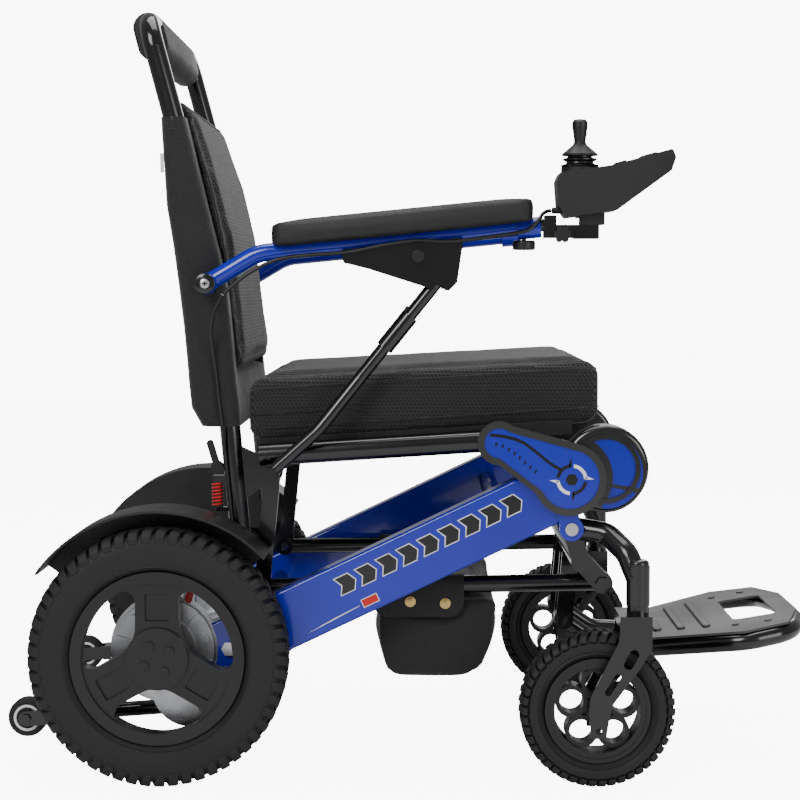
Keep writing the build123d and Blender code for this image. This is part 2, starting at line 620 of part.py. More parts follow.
def back_panel():
    """Back upholstery sleeve with its rear pocket, bored for the two back tubes."""
    edge = [(-319, 822), (-314, 721), (-304, 658), (-292, 560), (-287, 503), (-283, 459), (-270, 434),
            (-252, 440), (-221, 440), (-227.3, 500), (-237.8, 611), (-262, 712), (-288.5, 822)]
    block = on_plate(outline(edge), -BACK_TUBE_Y - 16, BACK_TUBE_Y + 16)
    recess = [(-210, 499), (-242.2, 499), (-252.8, 611), (-277, 712), (-303.5, 822), (-303.5, 840), (-210, 840)]
    block -= on_plate(outline(recess), -RECESS_HALF, RECESS_HALF)
    block -= y_rod(13 + SOFT, ARM_PIVOT, -260, -BACK_TUBE_Y) + y_rod(13 + SOFT, ARM_PIVOT, BACK_TUBE_Y, 260)
    return block - bent_bar(back_route(), BACK_BENDS, BACK_TUBE_R + SOFT)


def back_cushion():
    """Back cushion as one closed soft block, set into the sleeve and folded over its top."""
    front = [(-217, 503), (-220, 512), (-230, 590), (-240, 674), (-258, 748), (-284, 828)]
    thin = front + [(-286.5, 823), (-260.5, 712), (-236.6, 611), (-226.6, 503)]
    thick = front + [(-296, 838), (-306, 834), (-308, 822.6), (-302.9, 822.6), (-276.4, 712), (-252.2, 611),
                     (-241.7, 503)]
    block = on_plate(outline(thin), -BACK_CUSHION_HALF, BACK_CUSHION_HALF)
    block += on_plate(outline(thick), 1 - RECESS_HALF, RECESS_HALF - 1)
    face = Plane(origin=(-190, 0, 670.5), x_dir=(0, 1, 0), z_dir=(-1, 0, 0))
    return block & extrude(face * RectangleRounded(2 * BACK_CUSHION_HALF, 336, 40), 130)


def push_grip():
    """Padded sleeve on the top crossbar, with a slot-shaped section."""
    x, z = BACK_LINE[-1]
    section = Pos(x - 2.4, z - 14.5) * Rot(0, 0, 14) * Rectangle(40, 62)
    sleeve = on_plate(fillet(section.vertices(), 18.5), -166, 166)
    sleeve = fillet(sleeve.edges().group_by(Axis.Y)[0] + sleeve.edges().group_by(Axis.Y)[-1], 8)
    return sleeve - y_rod(BACK_TUBE_R + SOFT / 2, (x, z), -170, 170)


# ================================================================ armrests
def arm_direction():
    """Unit direction of the armrest tube under the pad, as (x, z)."""
    a = radians(5.6)
    return cos(a), sin(a)


ARM_BEND = (-196.0, 652.0)


def arm_point(x, up=0.0):
    """(x, z) on the armrest tube's straight run, at an X and a height above its centre."""
    c, s = arm_direction()
    return (x, ARM_BEND[1] + (x - ARM_BEND[0]) * s / c + up)


def armrest_tube():
    """Right armrest tube: pivot eye, rising run, straight run and front socket."""
    tip = arm_point(150)
    route = [(ARM_PIVOT[0], -ARM_Y, ARM_PIVOT[1]), (ARM_BEND[0], -ARM_Y, ARM_BEND[1]), (tip[0], -ARM_Y, tip[1])]
    tube = bent_bar(route, [60], ARM_TUBE_R)
    tube += y_rod(13, ARM_PIVOT, -ARM_Y - 11, -ARM_Y + 11)
    socket = bent_bar([(*arm_point(124, -2.2), 0), (*arm_point(152, -2.2), 0)], 0, 13.1)
    socket = Pos(0, -ARM_Y, 0) * Rot(90, 0, 0) * socket
    tube += socket
    bore = Rot(90, 0, 0) * bent_bar([(*arm_point(60), 0), (*arm_point(160), 0)], 0, 8 + RUN)
    tube -= Pos(0, -ARM_Y, 0) * bore
    tube -= Pos(132, -ARM_Y, arm_point(132, -15)[1]) * Cylinder(3 + RUN, 16)
    return tube - y_rod(8.5, ARM_PIVOT, -ARM_Y - 20, -ARM_Y + 20)


def armrest_pivot():
    """Bush on the back tube's pin, inside the armrest's eye."""
    bush = y_rod(8.5 - RUN, ARM_PIVOT, -ARM_Y - 11, -ARM_Y + 13.5)
    return bush - y_rod(PIN_R + RUN, ARM_PIVOT, -270, -200)


def armrest_pad():
    """Right armrest pad, flat below and rounded above."""
    x0, x1 = PAD_X
    low = 4.0
    edge = [arm_point(x0, low), arm_point(x1, low), arm_point(x1, low + PAD_T), arm_point(x0, low + PAD_T)]
    block = on_plate(outline(edge), -PAD_Y - PAD_W / 2, -PAD_Y + PAD_W / 2)
    upright = [e for e in block.edges() if abs((e % 0.5).Z) > 0.9]
    block = fillet(upright, 20)
    top = block.faces().sort_by(Axis.Z)[-1]
    block = fillet(top.edges(), 8)
    tube = bent_bar([(*arm_point(x0 - 30), 0), (*arm_point(x1 + 30), 0)], 0, ARM_TUBE_R + SOFT)
    socket = bent_bar([(*arm_point(122, -2.2), 0), (*arm_point(x1 + 30, -2.2), 0)], 0, 13.5)
    return block - Pos(0, -ARM_Y, 0) * Rot(90, 0, 0) * (tube + socket)


def armrest_bracket():
    """Right armrest bracket: two cheeks under the tube, with a hook slot for the strut's pin."""
    sx, sz = STRUT_TOP
    edge = [arm_point(-92, -6), arm_point(58, -6), (sx + 22, sz - 4), (sx + 12, sz - 14),
            (sx - 10, sz - 12), (-64, 634), (-90, 640)]
    cheek = outline(edge, 4)
    cheek -= Pos(sx, sz) * Circle(6.3) + Pos(sx, sz - 12) * Rectangle(12.6, 24)
    right = on_plate(cheek, -ARM_Y - ARM_TUBE_R - 3, -ARM_Y - 8.3)
    inner = on_plate(cheek, -ARM_Y + 8.3, -ARM_Y + ARM_TUBE_R + 3)
    spacer = y_rod(5, (-70, 645), -ARM_Y - 17, -ARM_Y + 14)
    block = Pos(2, -ARM_Y, 648) * Box(30, 17, 12)
    bracket = right + inner + spacer + block
    tube = armrest_tube()
    bracket -= tube
    bracket = bracket.solids().sort_by(SortBy.VOLUME)[-1]
    return bracket - y_rod(4 + RUN, (2, 648), -ARM_Y - 20, -ARM_Y + 20)


def plunger():
    """Right latch plunger with its pull knob."""
    pin = y_rod(4, (2, 648), -ARM_Y - 20, -ARM_Y + 2)
    return pin + fillet(y_rod(8, (2, 648), -ARM_Y - 30, -ARM_Y - 17).edges().filter_by(GeomType.CIRCLE), 2)


def strut():
    """Right support strut: lower eye, sleeve, bent upper run and top pin."""
    bx, bz = BACK_PIVOT
    tx, tz = STRUT_TOP
    route = [(bx, STRUT_Y, bz), (-122, STRUT_Y, 433), (-70, -ARM_Y, 498), (tx, -ARM_Y, tz)]
    bar = bent_bar(route, [90, 90], STRUT_R)
    bar += y_rod(12, BACK_PIVOT, STRUT_Y - STRUT_R + 1, STRUT_Y + STRUT_R - 1)
    sleeve = bent_bar([(-40, -ARM_Y, 535.3), (-8, -ARM_Y, 575.1)], 0, STRUT_R + 3)
    bar += sleeve
    bar += y_rod(5.8, STRUT_TOP, -ARM_Y - 18, -ARM_Y + 15) + y_rod(8, STRUT_TOP, -ARM_Y - 8, -ARM_Y + 8)
    bar += hexagon(8.5, STRUT_TOP, -ARM_Y - 20, -ARM_Y - 14.4)
    return bar - y_rod(PIN_R + RUN, BACK_PIVOT, STRUT_Y - 20, STRUT_Y + 20)


# ================================================================ controller
CTRL_EDGE = [(170.2, 739.4), (174, 749.3), (237, 757.9), (310, 777.7), (314, 767.6),
             (309, 751.7), (243.2, 703.5), (182.5, 694.8), (172.6, 708.4)]
CTRL_SPLIT = [(160, 708), (172, 711), (222, 719.6), (276.6, 743.1), (314, 767.8), (330, 775)]


COLLAR_TOP = 756.5


def controller_blank():
    """Whole controller body: a wedge that rises to the front, narrow at the keypad."""
    return on_plate(outline(CTRL_EDGE, 3), -CTRL_Y - CTRL_HALF, -CTRL_Y + CTRL_HALF)


def split_tool():
    """Everything below the controller's parting line."""
    return on_plate(outline(CTRL_SPLIT + [(330, 640), (160, 640)]), -CTRL_Y - 60, -CTRL_Y + 60)


def key_spot(step):
    """Centre of a key on the sloping deck, as (x, z)."""
    x = 243 + 17.5 * step
    return x, 757.9 + (x - 237) * (777.7 - 757.9) / (310 - 237)


DECK_ANGLE = degrees(atan2(777.7 - 757.9, 310 - 237))
KEYS = {"power_key": (0.3, 15, 14, 18), "horn_key": (0.3, -15, 14, 18), "speed_rocker": (2.3, 0, 20, 34)}


def key(name, grow=0.0, height=5.0):
    """One key, or its clearance hole when grown."""
    step, y, length, width = KEYS[name]
    x, z = key_spot(step)
    body = Box(length + 2 * grow, width + 2 * grow, height)
    body = fillet(body.edges().filter_by(Axis.Z), 2.5)
    return Pos(x, -CTRL_Y + y, z) * Rot(0, -DECK_ANGLE, 0) * Pos(0, 0, -0.6) * body


def controller_cover():
    """Upper controller shell, hollow, with openings for the stick and the keys."""
    blank = controller_blank()
    inside = on_plate(offset(outline(CTRL_EDGE, 3), -3), -CTRL_Y - CTRL_HALF + 3, -CTRL_Y + CTRL_HALF - 3)
    shell = blank - inside - split_tool()
    collar = Pos(STICK_X, -CTRL_Y, COLLAR_TOP - 5) * Cylinder(23, 10) - on_plate(
        outline([(150, 700), (CTRL_EDGE[1][0], CTRL_EDGE[1][1] - 3), (237, 754.9), (300, 700)]), -290, -190)
    shell += collar
    shell -= Pos(STICK_X, -CTRL_Y, 750) * Cylinder(18, 30)
    for name in KEYS:
        shell -= key(name, 0.4, 14)
    return shell


def controller_base():
    """Lower controller shell, hollow, with the mounting foot and the stick's bearing post."""
    blank = controller_blank()
    inside = on_plate(offset(outline(CTRL_EDGE, 3), -3), -CTRL_Y - CTRL_HALF + 3, -CTRL_Y + CTRL_HALF - 3)
    shell = (blank - inside) & split_tool()
    shell += Pos(215, -CTRL_Y, 693.5) * Box(29, 34, 14)
    for side in (-1, 1):
        shell += Pos(STICK_X, -CTRL_Y + side * 16, 720) * Box(8, 4, 50)
    shell -= Pos(STICK_X, -CTRL_Y, STICK_Z - 9) * Rot(90, 0, 0) * Cylinder(3 + RUN, 60)
    shell += Pos(173, -CTRL_Y, 704) * Rot(0, 90, 0) * Cylinder(4, 14)
    return shell


def joystick_gimbal():
    """Cross block that lets the stick tilt two ways."""
    block = Pos(STICK_X, -CTRL_Y, STICK_Z - 9) * Box(12, 26, 10)
    block += Pos(STICK_X, -CTRL_Y, STICK_Z - 9) * Rot(90, 0, 0) * Cylinder(3, 35)
    block -= Pos(STICK_X, -CTRL_Y, STICK_Z - 9) * Rot(0, 90, 0) * Cylinder(2.5 + RUN, 60)
    return block - Pos(STICK_X, -CTRL_Y, STICK_Z - 4) * Box(7, 14, 22)


def joystick():
    """Stick with a flared skirt, a waist and a domed knob."""
    half = [(0, 771), (22, 771), (22, 773), (8.5, 784.5), (7, 788), (9.5, 806), (9.5, 812), (7, 815), (0, 816)]
    turned = revolve(Plane.XZ * make_face(Polyline(*half, close=True)), Axis.Z)
    stick = Pos(STICK_X, -CTRL_Y, 0) * turned
    stick += Pos(STICK_X, -CTRL_Y, 754.5) * Cylinder(3, 36)
    stick += Pos(STICK_X, -CTRL_Y, STICK_Z - 9) * Rot(0, 90, 0) * Cylinder(2.5, 11)
    return stick


def joystick_boot():
    """Bellows between the stick's skirt and the deck."""
    half = [(4.5, 756.8), (22.5, 756.8), (23.5, 759.5), (17, 761.5), (16.5, 763.5), (21, 765.5), (21, 767), (15, 769),
            (15, 770.6), (4.5, 770.6)]
    turned = revolve(Plane.XZ * make_face(Polyline(*half, close=True)), Axis.Z)
    return Pos(STICK_X, -CTRL_Y, 0) * turned


def controller_bracket():
    """Sliding rod and clamp that carry the controller, with the tilt bolt."""
    rod = bent_bar([(*arm_point(70), 0), (*arm_point(170), 0)], 0, 8)
    rod = Pos(0, -ARM_Y, 0) * Rot(90, 0, 0) * rod
    block = Pos(178, -ARM_Y, 678.5) * Box(44, 26, 16)
    foot = Pos(208, -ARM_Y, 678) * Box(30, 30, 17)
    bracket = rod + block + foot
    bracket += Pos(164, -ARM_Y, 688) * Box(14, 26, 20)
    bracket += y_rod(5, (199, 676), -ARM_Y - 19, -ARM_Y - 15)
    return bracket - y_rod(3 + RUN, (177.6, 675), -ARM_Y - 20, -ARM_Y - 4)


def star_knob():
    """Lobed clamp knob on the bracket's side."""
    lobes = Circle(8)
    for turn in range(0, 360, 60):
        lobes += Rot(0, 0, turn) * Pos(7.5, 0) * Circle(3.6)
    knob = on_plate(Pos(177.6, 675) * lobes, -ARM_Y - 27, -ARM_Y - 14.3)
    return knob + y_rod(3, (177.6, 675), -ARM_Y - 15, -ARM_Y - 5)


def thumbscrew():
    """Round-headed clamp screw under the armrest's socket."""
    z = arm_point(132, -16.5)[1]
    head = Pos(132, -ARM_Y, z - 6) * Cylinder(14, 12)
    head = fillet(head.edges().filter_by(GeomType.CIRCLE), 3)
    tip = arm_point(132, -8.3)[1]
    return head + Pos(132, -ARM_Y, (z + tip) / 2 - 1) * Cylinder(3, tip - z + 2)


# ================================================================ cables
ARM_CABLE = [(165, -240, 704), (160, -241, 703.5), (154, -247, 700), (148, -256, 689), (136, -260, 679),
             (116, -263, 675), (80, -263, 670), (40, -262, 665), (2, -261.5, 668), (-40, -261, 662),
             (-85, -259, 652), (-130, -257.5, 650), (-172, -257, 645), (-208, -257, 627), (-236, -256, 603)]
BACK_CABLE = [(-238.3, -255.9, 601), (-249, -251, 583), (-255, -240, 560), (-254, -226.5, 532),
              (-250, -223.7, 500), (-247, -223.7, 466), (-243, -224.4, 440), (-240, -218.6, 404),
              (-237.3, -218.6, 374), (-234, -218.6, 338), (-231, -218.6, 305)]
CABLE_R = 2.4


def cable_bends(points):
    """Largest arc at each corner of a cable: 0.45 of the shorter run over the tangent of half the turn."""
    bends = []
    for a, b, c in zip(points, points[1:], points[2:]):
        run_in, run_out = Vector(*b) - Vector(*a), Vector(*c) - Vector(*b)
        turn = radians(run_in.get_angle(run_out))
        bends.append(0.45 * min(run_in.length, run_out.length) / tan(turn / 2))
    print("cable bends:", ", ".join(f"{bend:.0f}" for bend in bends))
    return bends


def armrest_cable():
    """Controller lead, clipped along the outside of the armrest tube."""
    return bent_bar(ARM_CABLE, cable_bends(ARM_CABLE), CABLE_R)


def back_cable():
    """Motor lead, tied down the outside of the back tube."""
    return bent_bar(BACK_CABLE, cable_bends(BACK_CABLE), CABLE_R)


# ================================================================ write the nodes
RIGHT_AND_LEFT = {
    "rear_tyre": rear_tyre, "rear_rim": rear_rim, "anti_tip_wheel": anti_tip_wheel,
    "clutch_lever": clutch_lever, "battery": battery, "caster_fork": caster_fork,
    "caster_tyre": caster_tyre, "caster_rim": caster_rim, "armrest_tube": armrest_tube,
    "armrest_pad": armrest_pad, "armrest_bracket": armrest_bracket, "armrest_pivot": armrest_pivot,
    "strut": strut, "plunger": plunger,
}
PAIRS = {"beams": beam, "drive_covers": drive_cover, "motors": motor, "fenders": fender,
         "lower_bars": lower_bar, "rear_links": rear_link}
SINGLES = {
    "rear_frame": rear_frame, "bolts": bolts, "front_frame": front_frame,
    "footplate_frame": footplate_frame, "footplate_tread": footplate_tread, "seat_bag": seat_bag,
    "seat_frame": seat_frame, "seat_cushion": seat_cushion, "back_frame": back_frame,
    "back_panel": back_panel, "back_cushion": back_cushion, "push_grip": push_grip,
    "fold_lever": fold_lever, "controller_cover": controller_cover, "controller_base": controller_base,
    "joystick": joystick, "joystick_gimbal": joystick_gimbal, "joystick_boot": joystick_boot,
    "controller_bracket": controller_bracket, "star_knob": star_knob, "thumbscrew": thumbscrew,
    "armrest_cable": armrest_cable, "back_cable": back_cable,
}

for node, build in RIGHT_AND_LEFT.items():
    right_part = build()
    save(f"{node}_right", right_part)
    save(f"{node}_left", left(right_part))
for node, build in PAIRS.items():
    save(node, both(build()))
for node, build in SINGLES.items():
    save(node, build())
for node in KEYS:
    save(node, key(node))
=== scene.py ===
"""Looks of the folding power wheelchair: finishes, treads, soft goods, badges and a plain studio."""
import json
import math

import bpy
from bpy.props import FloatProperty, FloatVectorProperty, IntProperty, PointerProperty
from mathutils import Matrix, Vector


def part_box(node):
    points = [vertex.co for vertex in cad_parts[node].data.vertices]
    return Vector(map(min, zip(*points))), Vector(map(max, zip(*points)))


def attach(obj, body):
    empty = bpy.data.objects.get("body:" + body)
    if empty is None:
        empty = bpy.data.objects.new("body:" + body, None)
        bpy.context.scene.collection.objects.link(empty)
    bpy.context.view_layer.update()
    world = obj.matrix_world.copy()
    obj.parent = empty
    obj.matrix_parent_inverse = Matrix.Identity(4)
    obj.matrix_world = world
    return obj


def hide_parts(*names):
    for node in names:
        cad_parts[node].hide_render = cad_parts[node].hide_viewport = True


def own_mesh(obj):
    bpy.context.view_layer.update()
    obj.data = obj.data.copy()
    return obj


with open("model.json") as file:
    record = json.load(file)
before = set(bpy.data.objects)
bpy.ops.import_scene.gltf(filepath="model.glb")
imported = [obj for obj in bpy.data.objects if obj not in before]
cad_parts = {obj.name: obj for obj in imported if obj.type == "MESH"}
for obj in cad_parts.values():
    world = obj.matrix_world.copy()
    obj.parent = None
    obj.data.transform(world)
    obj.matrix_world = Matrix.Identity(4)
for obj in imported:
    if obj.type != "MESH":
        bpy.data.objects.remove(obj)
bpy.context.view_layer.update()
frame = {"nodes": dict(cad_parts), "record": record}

bl_info = {
    "name": "Folding power wheelchair looks",
    "version": (1, 0, 0),
    "blender": (4, 5, 0),
    "location": "View3D > Sidebar > Wheelchair",
    "description": "Finishes, treads, soft goods and badges round the packed wheelchair frame",
    "category": "Object",
}

SIDES = (("right", -1), ("left", 1))
REAR_AXLE = Vector((-0.3153, 0.282, 0.159))
CASTER_AXLE = Vector((0.2213, 0.277, 0.095))
TIP_AXLE = Vector((-0.4935, 0.206, 0.0653))
BEAM_POINT = (-0.1579, 0.1982)
BEAM_ANGLE = math.radians(25.6)


# ---------------------------------------------------------------- settings
class WheelchairColours(bpy.types.PropertyGroup):
    """Main colours of the wheelchair."""
    blue: FloatVectorProperty(name="Frame blue", description="Gloss paint of the beams and armrests",
                              subtype="COLOR", size=3, min=0, max=1, default=(0.0, 0.008, 0.40))
    black: FloatVectorProperty(name="Frame black", description="Gloss paint of the steel frame",
                               subtype="COLOR", size=3, min=0, max=1, default=(0.0022, 0.0022, 0.0026))
    plastic: FloatVectorProperty(name="Dark plastic", description="Rims, mudguards and covers",
                                 subtype="COLOR", size=3, min=0, max=1, default=(0.0085, 0.0088, 0.0095))
    tyre: FloatVectorProperty(name="Tyre rubber", description="All tyres",
                              subtype="COLOR", size=3, min=0, max=1, default=(0.0105, 0.0105, 0.0108))
    cloth: FloatVectorProperty(name="Black cloth", description="Seat mesh, sleeve and bag",
                               subtype="COLOR", size=3, min=0, max=1, default=(0.0052, 0.0053, 0.0056))
    tread_sheet: FloatVectorProperty(name="Footplate grey", description="Moulded footplate sheet",
                                     subtype="COLOR", size=3, min=0, max=1, default=(0.050, 0.052, 0.055))
    red: FloatVectorProperty(name="Lever red", description="Clutch levers and the lock spring",
                             subtype="COLOR", size=3, min=0, max=1, default=(0.55, 0.010, 0.008))
    silver: FloatVectorProperty(name="Cast silver", description="Motor castings",
                                subtype="COLOR", size=3, min=0, max=1, default=(0.62, 0.63, 0.65))
    brass: FloatVectorProperty(name="Brass", description="Snaps, nuts and axle bolts",
                               subtype="COLOR", size=3, min=0, max=1, default=(0.70, 0.50, 0.20))


class WheelchairSizes(bpy.types.PropertyGroup):
    """Sizes that the new pieces are made to."""
    drive_lugs: IntProperty(name="Drive tyre lugs", description="Tread blocks round each drive tyre",
                            default=57, min=20, max=90)
    castor_lugs: IntProperty(name="Castor lugs", description="Tread blocks round each castor tyre",
                             default=46, min=20, max=80)
    seat_puff: FloatProperty(name="Seat fullness", description="Furthest that the seat cushion may swell",
                             default=0.009, min=0, max=0.03, unit="LENGTH")
    back_puff: FloatProperty(name="Back fullness", description="Furthest that the back cushion may swell",
                             default=0.008, min=0, max=0.03, unit="LENGTH")
    spring_turns: IntProperty(name="Spring turns", description="Coils of the fold lock's spring",
                              default=7, min=3, max=14)


# ---------------------------------------------------------------- mesh helpers
def clear_selection():
    """Leaves object mode with nothing selected."""
    if bpy.context.object and bpy.context.object.mode != "OBJECT":
        bpy.ops.object.mode_set(mode="OBJECT")
    bpy.ops.object.select_all(action="DESELECT")


def only(obj):
    """Makes one object the selected and active one."""
    clear_selection()
    obj.select_set(True)
    bpy.context.view_layer.objects.active = obj


def edit(obj, select=True):
    """Opens an object in edit mode with all, or none, of its mesh selected."""
    only(obj)
    bpy.ops.object.mode_set(mode="EDIT")
    bpy.ops.mesh.select_all(action="SELECT" if select else "DESELECT")


def done():
    bpy.ops.object.mode_set(mode="OBJECT")


def new_from_primitive(name):
    obj = bpy.context.object
    obj.name = name
    obj.data.name = name
    return obj


def loop_shape(name, points, fill=False):
    """A circle primitive whose vertices are drawn out to the given points."""
    clear_selection()
    kind = "NGON" if fill else "NOTHING"
    bpy.ops.mesh.primitive_circle_add(vertices=len(points), radius=0.01, fill_type=kind)
    obj = new_from_primitive(name)
    for vertex, point in zip(obj.data.vertices, points):
        vertex.co = point
    return obj


def outward(obj):
    """Merges doubles and points all faces outwards."""
    edit(obj)
    bpy.ops.mesh.remove_doubles(threshold=0.00002)
    bpy.ops.mesh.normals_make_consistent(inside=False)
    done()


def slab(name, outline, y0, y1, bevel=0.0):
    """An XZ outline extruded between two Y values, with its edges bevelled."""
    obj = loop_shape(name, [(x, y0, z) for x, z in outline], fill=True)
    edit(obj)
    bpy.ops.mesh.extrude_region_move(TRANSFORM_OT_translate={"value": (0, y1 - y0, 0)})
    done()
    outward(obj)
    if bevel:
        add_bevel(obj, bevel)
    return obj


def add_bevel(obj, width, segments=2, angle=40):
    only(obj)
    mod = obj.modifiers.new("Bevel", "BEVEL")
    mod.width = width
    mod.segments = segments
    mod.limit_method = "ANGLE"
    mod.angle_limit = math.radians(angle)
    bpy.ops.object.modifier_apply(modifier=mod.name)


def revolve(name, section, centre, steps, smooth=50):
    """A closed section of (radius, y) points spun round the Y axis at a centre."""
    points = [(centre[0] + r, centre[1] + y, centre[2]) for r, y in section]
    obj = loop_shape(name, points)
    edit(obj)
    bpy.ops.mesh.spin(steps=steps, angle=2 * math.pi, center=centre, axis=(0, 1, 0))
    done()
    outward(obj)
    soften(obj, smooth)
    return obj


def band(inner, outer, y0, y1):
    """Rectangular section of a ring, as (radius, y) points."""
    return [(inner, y0), (outer, y0), (outer, y1), (inner, y1)]


def ring_copies(obj, centre, count):
    """Repeats the whole mesh round the Y axis at a centre."""
    edit(obj)
    bpy.ops.mesh.spin(steps=count, dupli=True, angle=2 * math.pi, center=centre, axis=(0, 1, 0))
    done()
    outward(obj)


def soften(obj, angle=40):
    only(obj)
    bpy.ops.object.shade_smooth_by_angle(angle=math.radians(angle))


def join(target, *others):
    only(target)
    for other in others:
        other.select_set(True)
    bpy.ops.object.join()
    return target


def copy_of(obj, name):
    twin = obj.copy()
    twin.data = obj.data.copy()
    twin.name = name
    twin.data.name = name
    bpy.context.scene.collection.objects.link(twin)
    return twin


def paint(obj, mat):
    obj.data.materials.clear()
    obj.data.materials.append(mat)
    return obj


def line_piece(name, paths, radius, cyclic=False, resolution=3):
    """Round cord along one or more smooth lines, made a mesh."""
    curve = bpy.data.curves.new(name, "CURVE")
    curve.dimensions = "3D"
    curve.bevel_depth = radius
    curve.bevel_resolution = resolution
    curve.use_fill_caps = True
    for path in paths:
        spline = curve.splines.new("NURBS")
        spline.points.add(len(path) - 1)
        for point, place in zip(spline.points, path):
            point.co = (*place, 1)
        spline.order_u = 3
        spline.use_endpoint_u = not cyclic
        spline.use_cyclic_u = cyclic
        spline.resolution_u = 4
    obj = bpy.data.objects.new(name, curve)
    bpy.context.scene.collection.objects.link(obj)
    only(obj)
    bpy.ops.object.convert(target="MESH")
    obj = bpy.context.object
    soften(obj, 60)
    return obj


def laid_on(surface, path, lift=0.0):
    """Moves each point of a path onto the nearest place of a surface, then out by a lift."""
    placed = []
    for point in path:
        hit, place, normal, _ = surface.closest_point_on_mesh(Vector(point))
        placed.append(tuple(place + normal * lift) if hit else tuple(point))
    return placed


def dense(path, pitch):
    """Points at an even pitch along straight runs."""
    out = []
    for a, b in zip(path, path[1:]):
        a, b = Vector(a), Vector(b)
        count = max(1, round((b - a).length / pitch))
        out += [tuple(a.lerp(b, i / count)) for i in range(count)]
    return out + [tuple(path[-1])]


def stitches(name, surface, path, pitch=0.006, length=0.0034, radius=0.0004, lift=0.0002):
    """A dashed line of thread along a path on a surface."""
    points = dense(path, pitch)
    dashes = []
    for a, b in zip(points, points[1:]):
        run = Vector(b) - Vector(a)
        if run.length > 1e-5:
            end = Vector(a) + run.normalized() * length
            dashes.append(laid_on(surface, [a, tuple((Vector(a) + end) / 2), tuple(end)], lift))
    return line_piece(name, dashes, radius, resolution=0)


def box_uv(obj):
    """Gives a piece a map in metres, projected from its six sides."""
    edit(obj)
    bpy.ops.uv.cube_project(cube_size=1.0, correct_aspect=False, scale_to_bounds=False)
    done()


def puffed(name, node, voxel=0.005, shrink=0.004, cap=0.008, flat=(), pressure=4.0, frames=20):
    """A cushion blown up from its frame solid: inflated as cloth, capped, and kept flat where it rests."""
    obj = copy_of(frame["nodes"][node], name)
    obj.parent = None
    for key in list(obj.keys()):
        del obj[key]
    outward(obj)
    edit(obj)
    bpy.ops.transform.shrink_fatten(value=-shrink, use_even_offset=True)
    done()
    only(obj)
    mod = obj.modifiers.new("Remesh", "REMESH")
    mod.mode = "VOXEL"
    mod.voxel_size = voxel
    bpy.ops.object.modifier_apply(modifier=mod.name)
    rest = [v.co.copy() for v in obj.data.vertices]
    normals = [v.normal.copy() for v in obj.data.vertices]
    cloth = obj.modifiers.new("Cloth", "CLOTH")
    cloth.settings.use_pressure = True
    cloth.settings.uniform_pressure_force = pressure
    cloth.settings.effector_weights.gravity = 0
    cloth.settings.quality = 4
    cloth.point_cache.frame_end = frames
    for step in range(1, frames + 1):
        bpy.context.scene.frame_set(step)
    bpy.ops.object.modifier_apply(modifier=cloth.name)
    bpy.context.scene.frame_set(1)
    for vertex, place, normal in zip(obj.data.vertices, rest, normals):
        shift = vertex.co - place
        if shift.length > cap:
            shift *= cap / shift.length
        shift -= normal * min(0.0, shift.dot(normal)) * 0.8
        for axis in flat:
            axis = Vector(axis)
            if normal.dot(axis) > 0.35:
                shift -= axis * max(0.0, shift.dot(axis) - shrink * 0.6)
        vertex.co = place + shift
    only(obj)
    sub = obj.modifiers.new("Subdivision", "SUBSURF")
    sub.levels = 1
    sub.render_levels = 1
    bpy.ops.object.modifier_apply(modifier=sub.name)
    bpy.ops.object.shade_smooth()
    box_uv(obj)
    return obj


# ---------------------------------------------------------------- shader groups
GROUPS = {}


def group_of(name, inputs, outputs, build):
    """Makes a shader group once: inputs are (name, kind, default) and outputs (name, kind)."""
    if name in GROUPS:
        return GROUPS[name]
    tree = bpy.data.node_groups.new(name, "ShaderNodeTree")
    for label, kind, default in inputs:
        socket = tree.interface.new_socket(name=label, in_out="INPUT", socket_type="NodeSocket" + kind)
        if default is not None:
            socket.default_value = default
    for label, kind in outputs:
        tree.interface.new_socket(name=label, in_out="OUTPUT", socket_type="NodeSocket" + kind)
    source, sink = tree.nodes.new("NodeGroupInput"), tree.nodes.new("NodeGroupOutput")
    build(tree, source.outputs, sink.inputs)
    GROUPS[name] = tree
    return tree


def math_node(tree, operation, a, b=None, clamp=False):
    node = tree.nodes.new("ShaderNodeMath")
    node.operation = operation
    node.use_clamp = clamp
    for socket, value in zip(node.inputs, (a, b)):
        if value is None:
            continue
        if isinstance(value, (int, float)):
            socket.default_value = value
        else:
            tree.links.new(value, socket)
    return node.outputs[0]


def ramp(tree, value, low, high):
    """Smooth 0 to 1 between two values."""
    node = tree.nodes.new("ShaderNodeMapRange")
    node.interpolation_type = "SMOOTHSTEP"
    tree.links.new(value, node.inputs["Value"])
    node.inputs["From Min"].default_value = low
    node.inputs["From Max"].default_value = high
    return node.outputs["Result"]


def noise(tree, vector, scale, detail=3.0, rough=0.55):
    node = tree.nodes.new("ShaderNodeTexNoise")
    node.inputs["Detail"].default_value = detail
    node.inputs["Roughness"].default_value = rough
    tree.links.new(vector, node.inputs["Vector"])
    if isinstance(scale, (int, float)):
        node.inputs["Scale"].default_value = scale
    else:
        tree.links.new(scale, node.inputs["Scale"])
    return node.outputs["Fac"]


def scaled(tree, vector, amount):
    node = tree.nodes.new("ShaderNodeVectorMath")
    node.operation = "SCALE"
    tree.links.new(vector, node.inputs[0])
    if isinstance(amount, (int, float)):
        node.inputs["Scale"].default_value = amount
    else:
        tree.links.new(amount, node.inputs["Scale"])
    return node.outputs[0]


def xyz(tree, vector):
    node = tree.nodes.new("ShaderNodeSeparateXYZ")
    tree.links.new(vector, node.inputs[0])
    return node.outputs


def build_grain(tree, given, out):
    fine = noise(tree, given["Vector"], given["Scale"], 2.0)
    broad = noise(tree, given["Vector"], 9.0, 3.0)
    tree.links.new(fine, out["Height"])
    tree.links.new(ramp(tree, broad, 0.35, 0.65), out["Patch"])


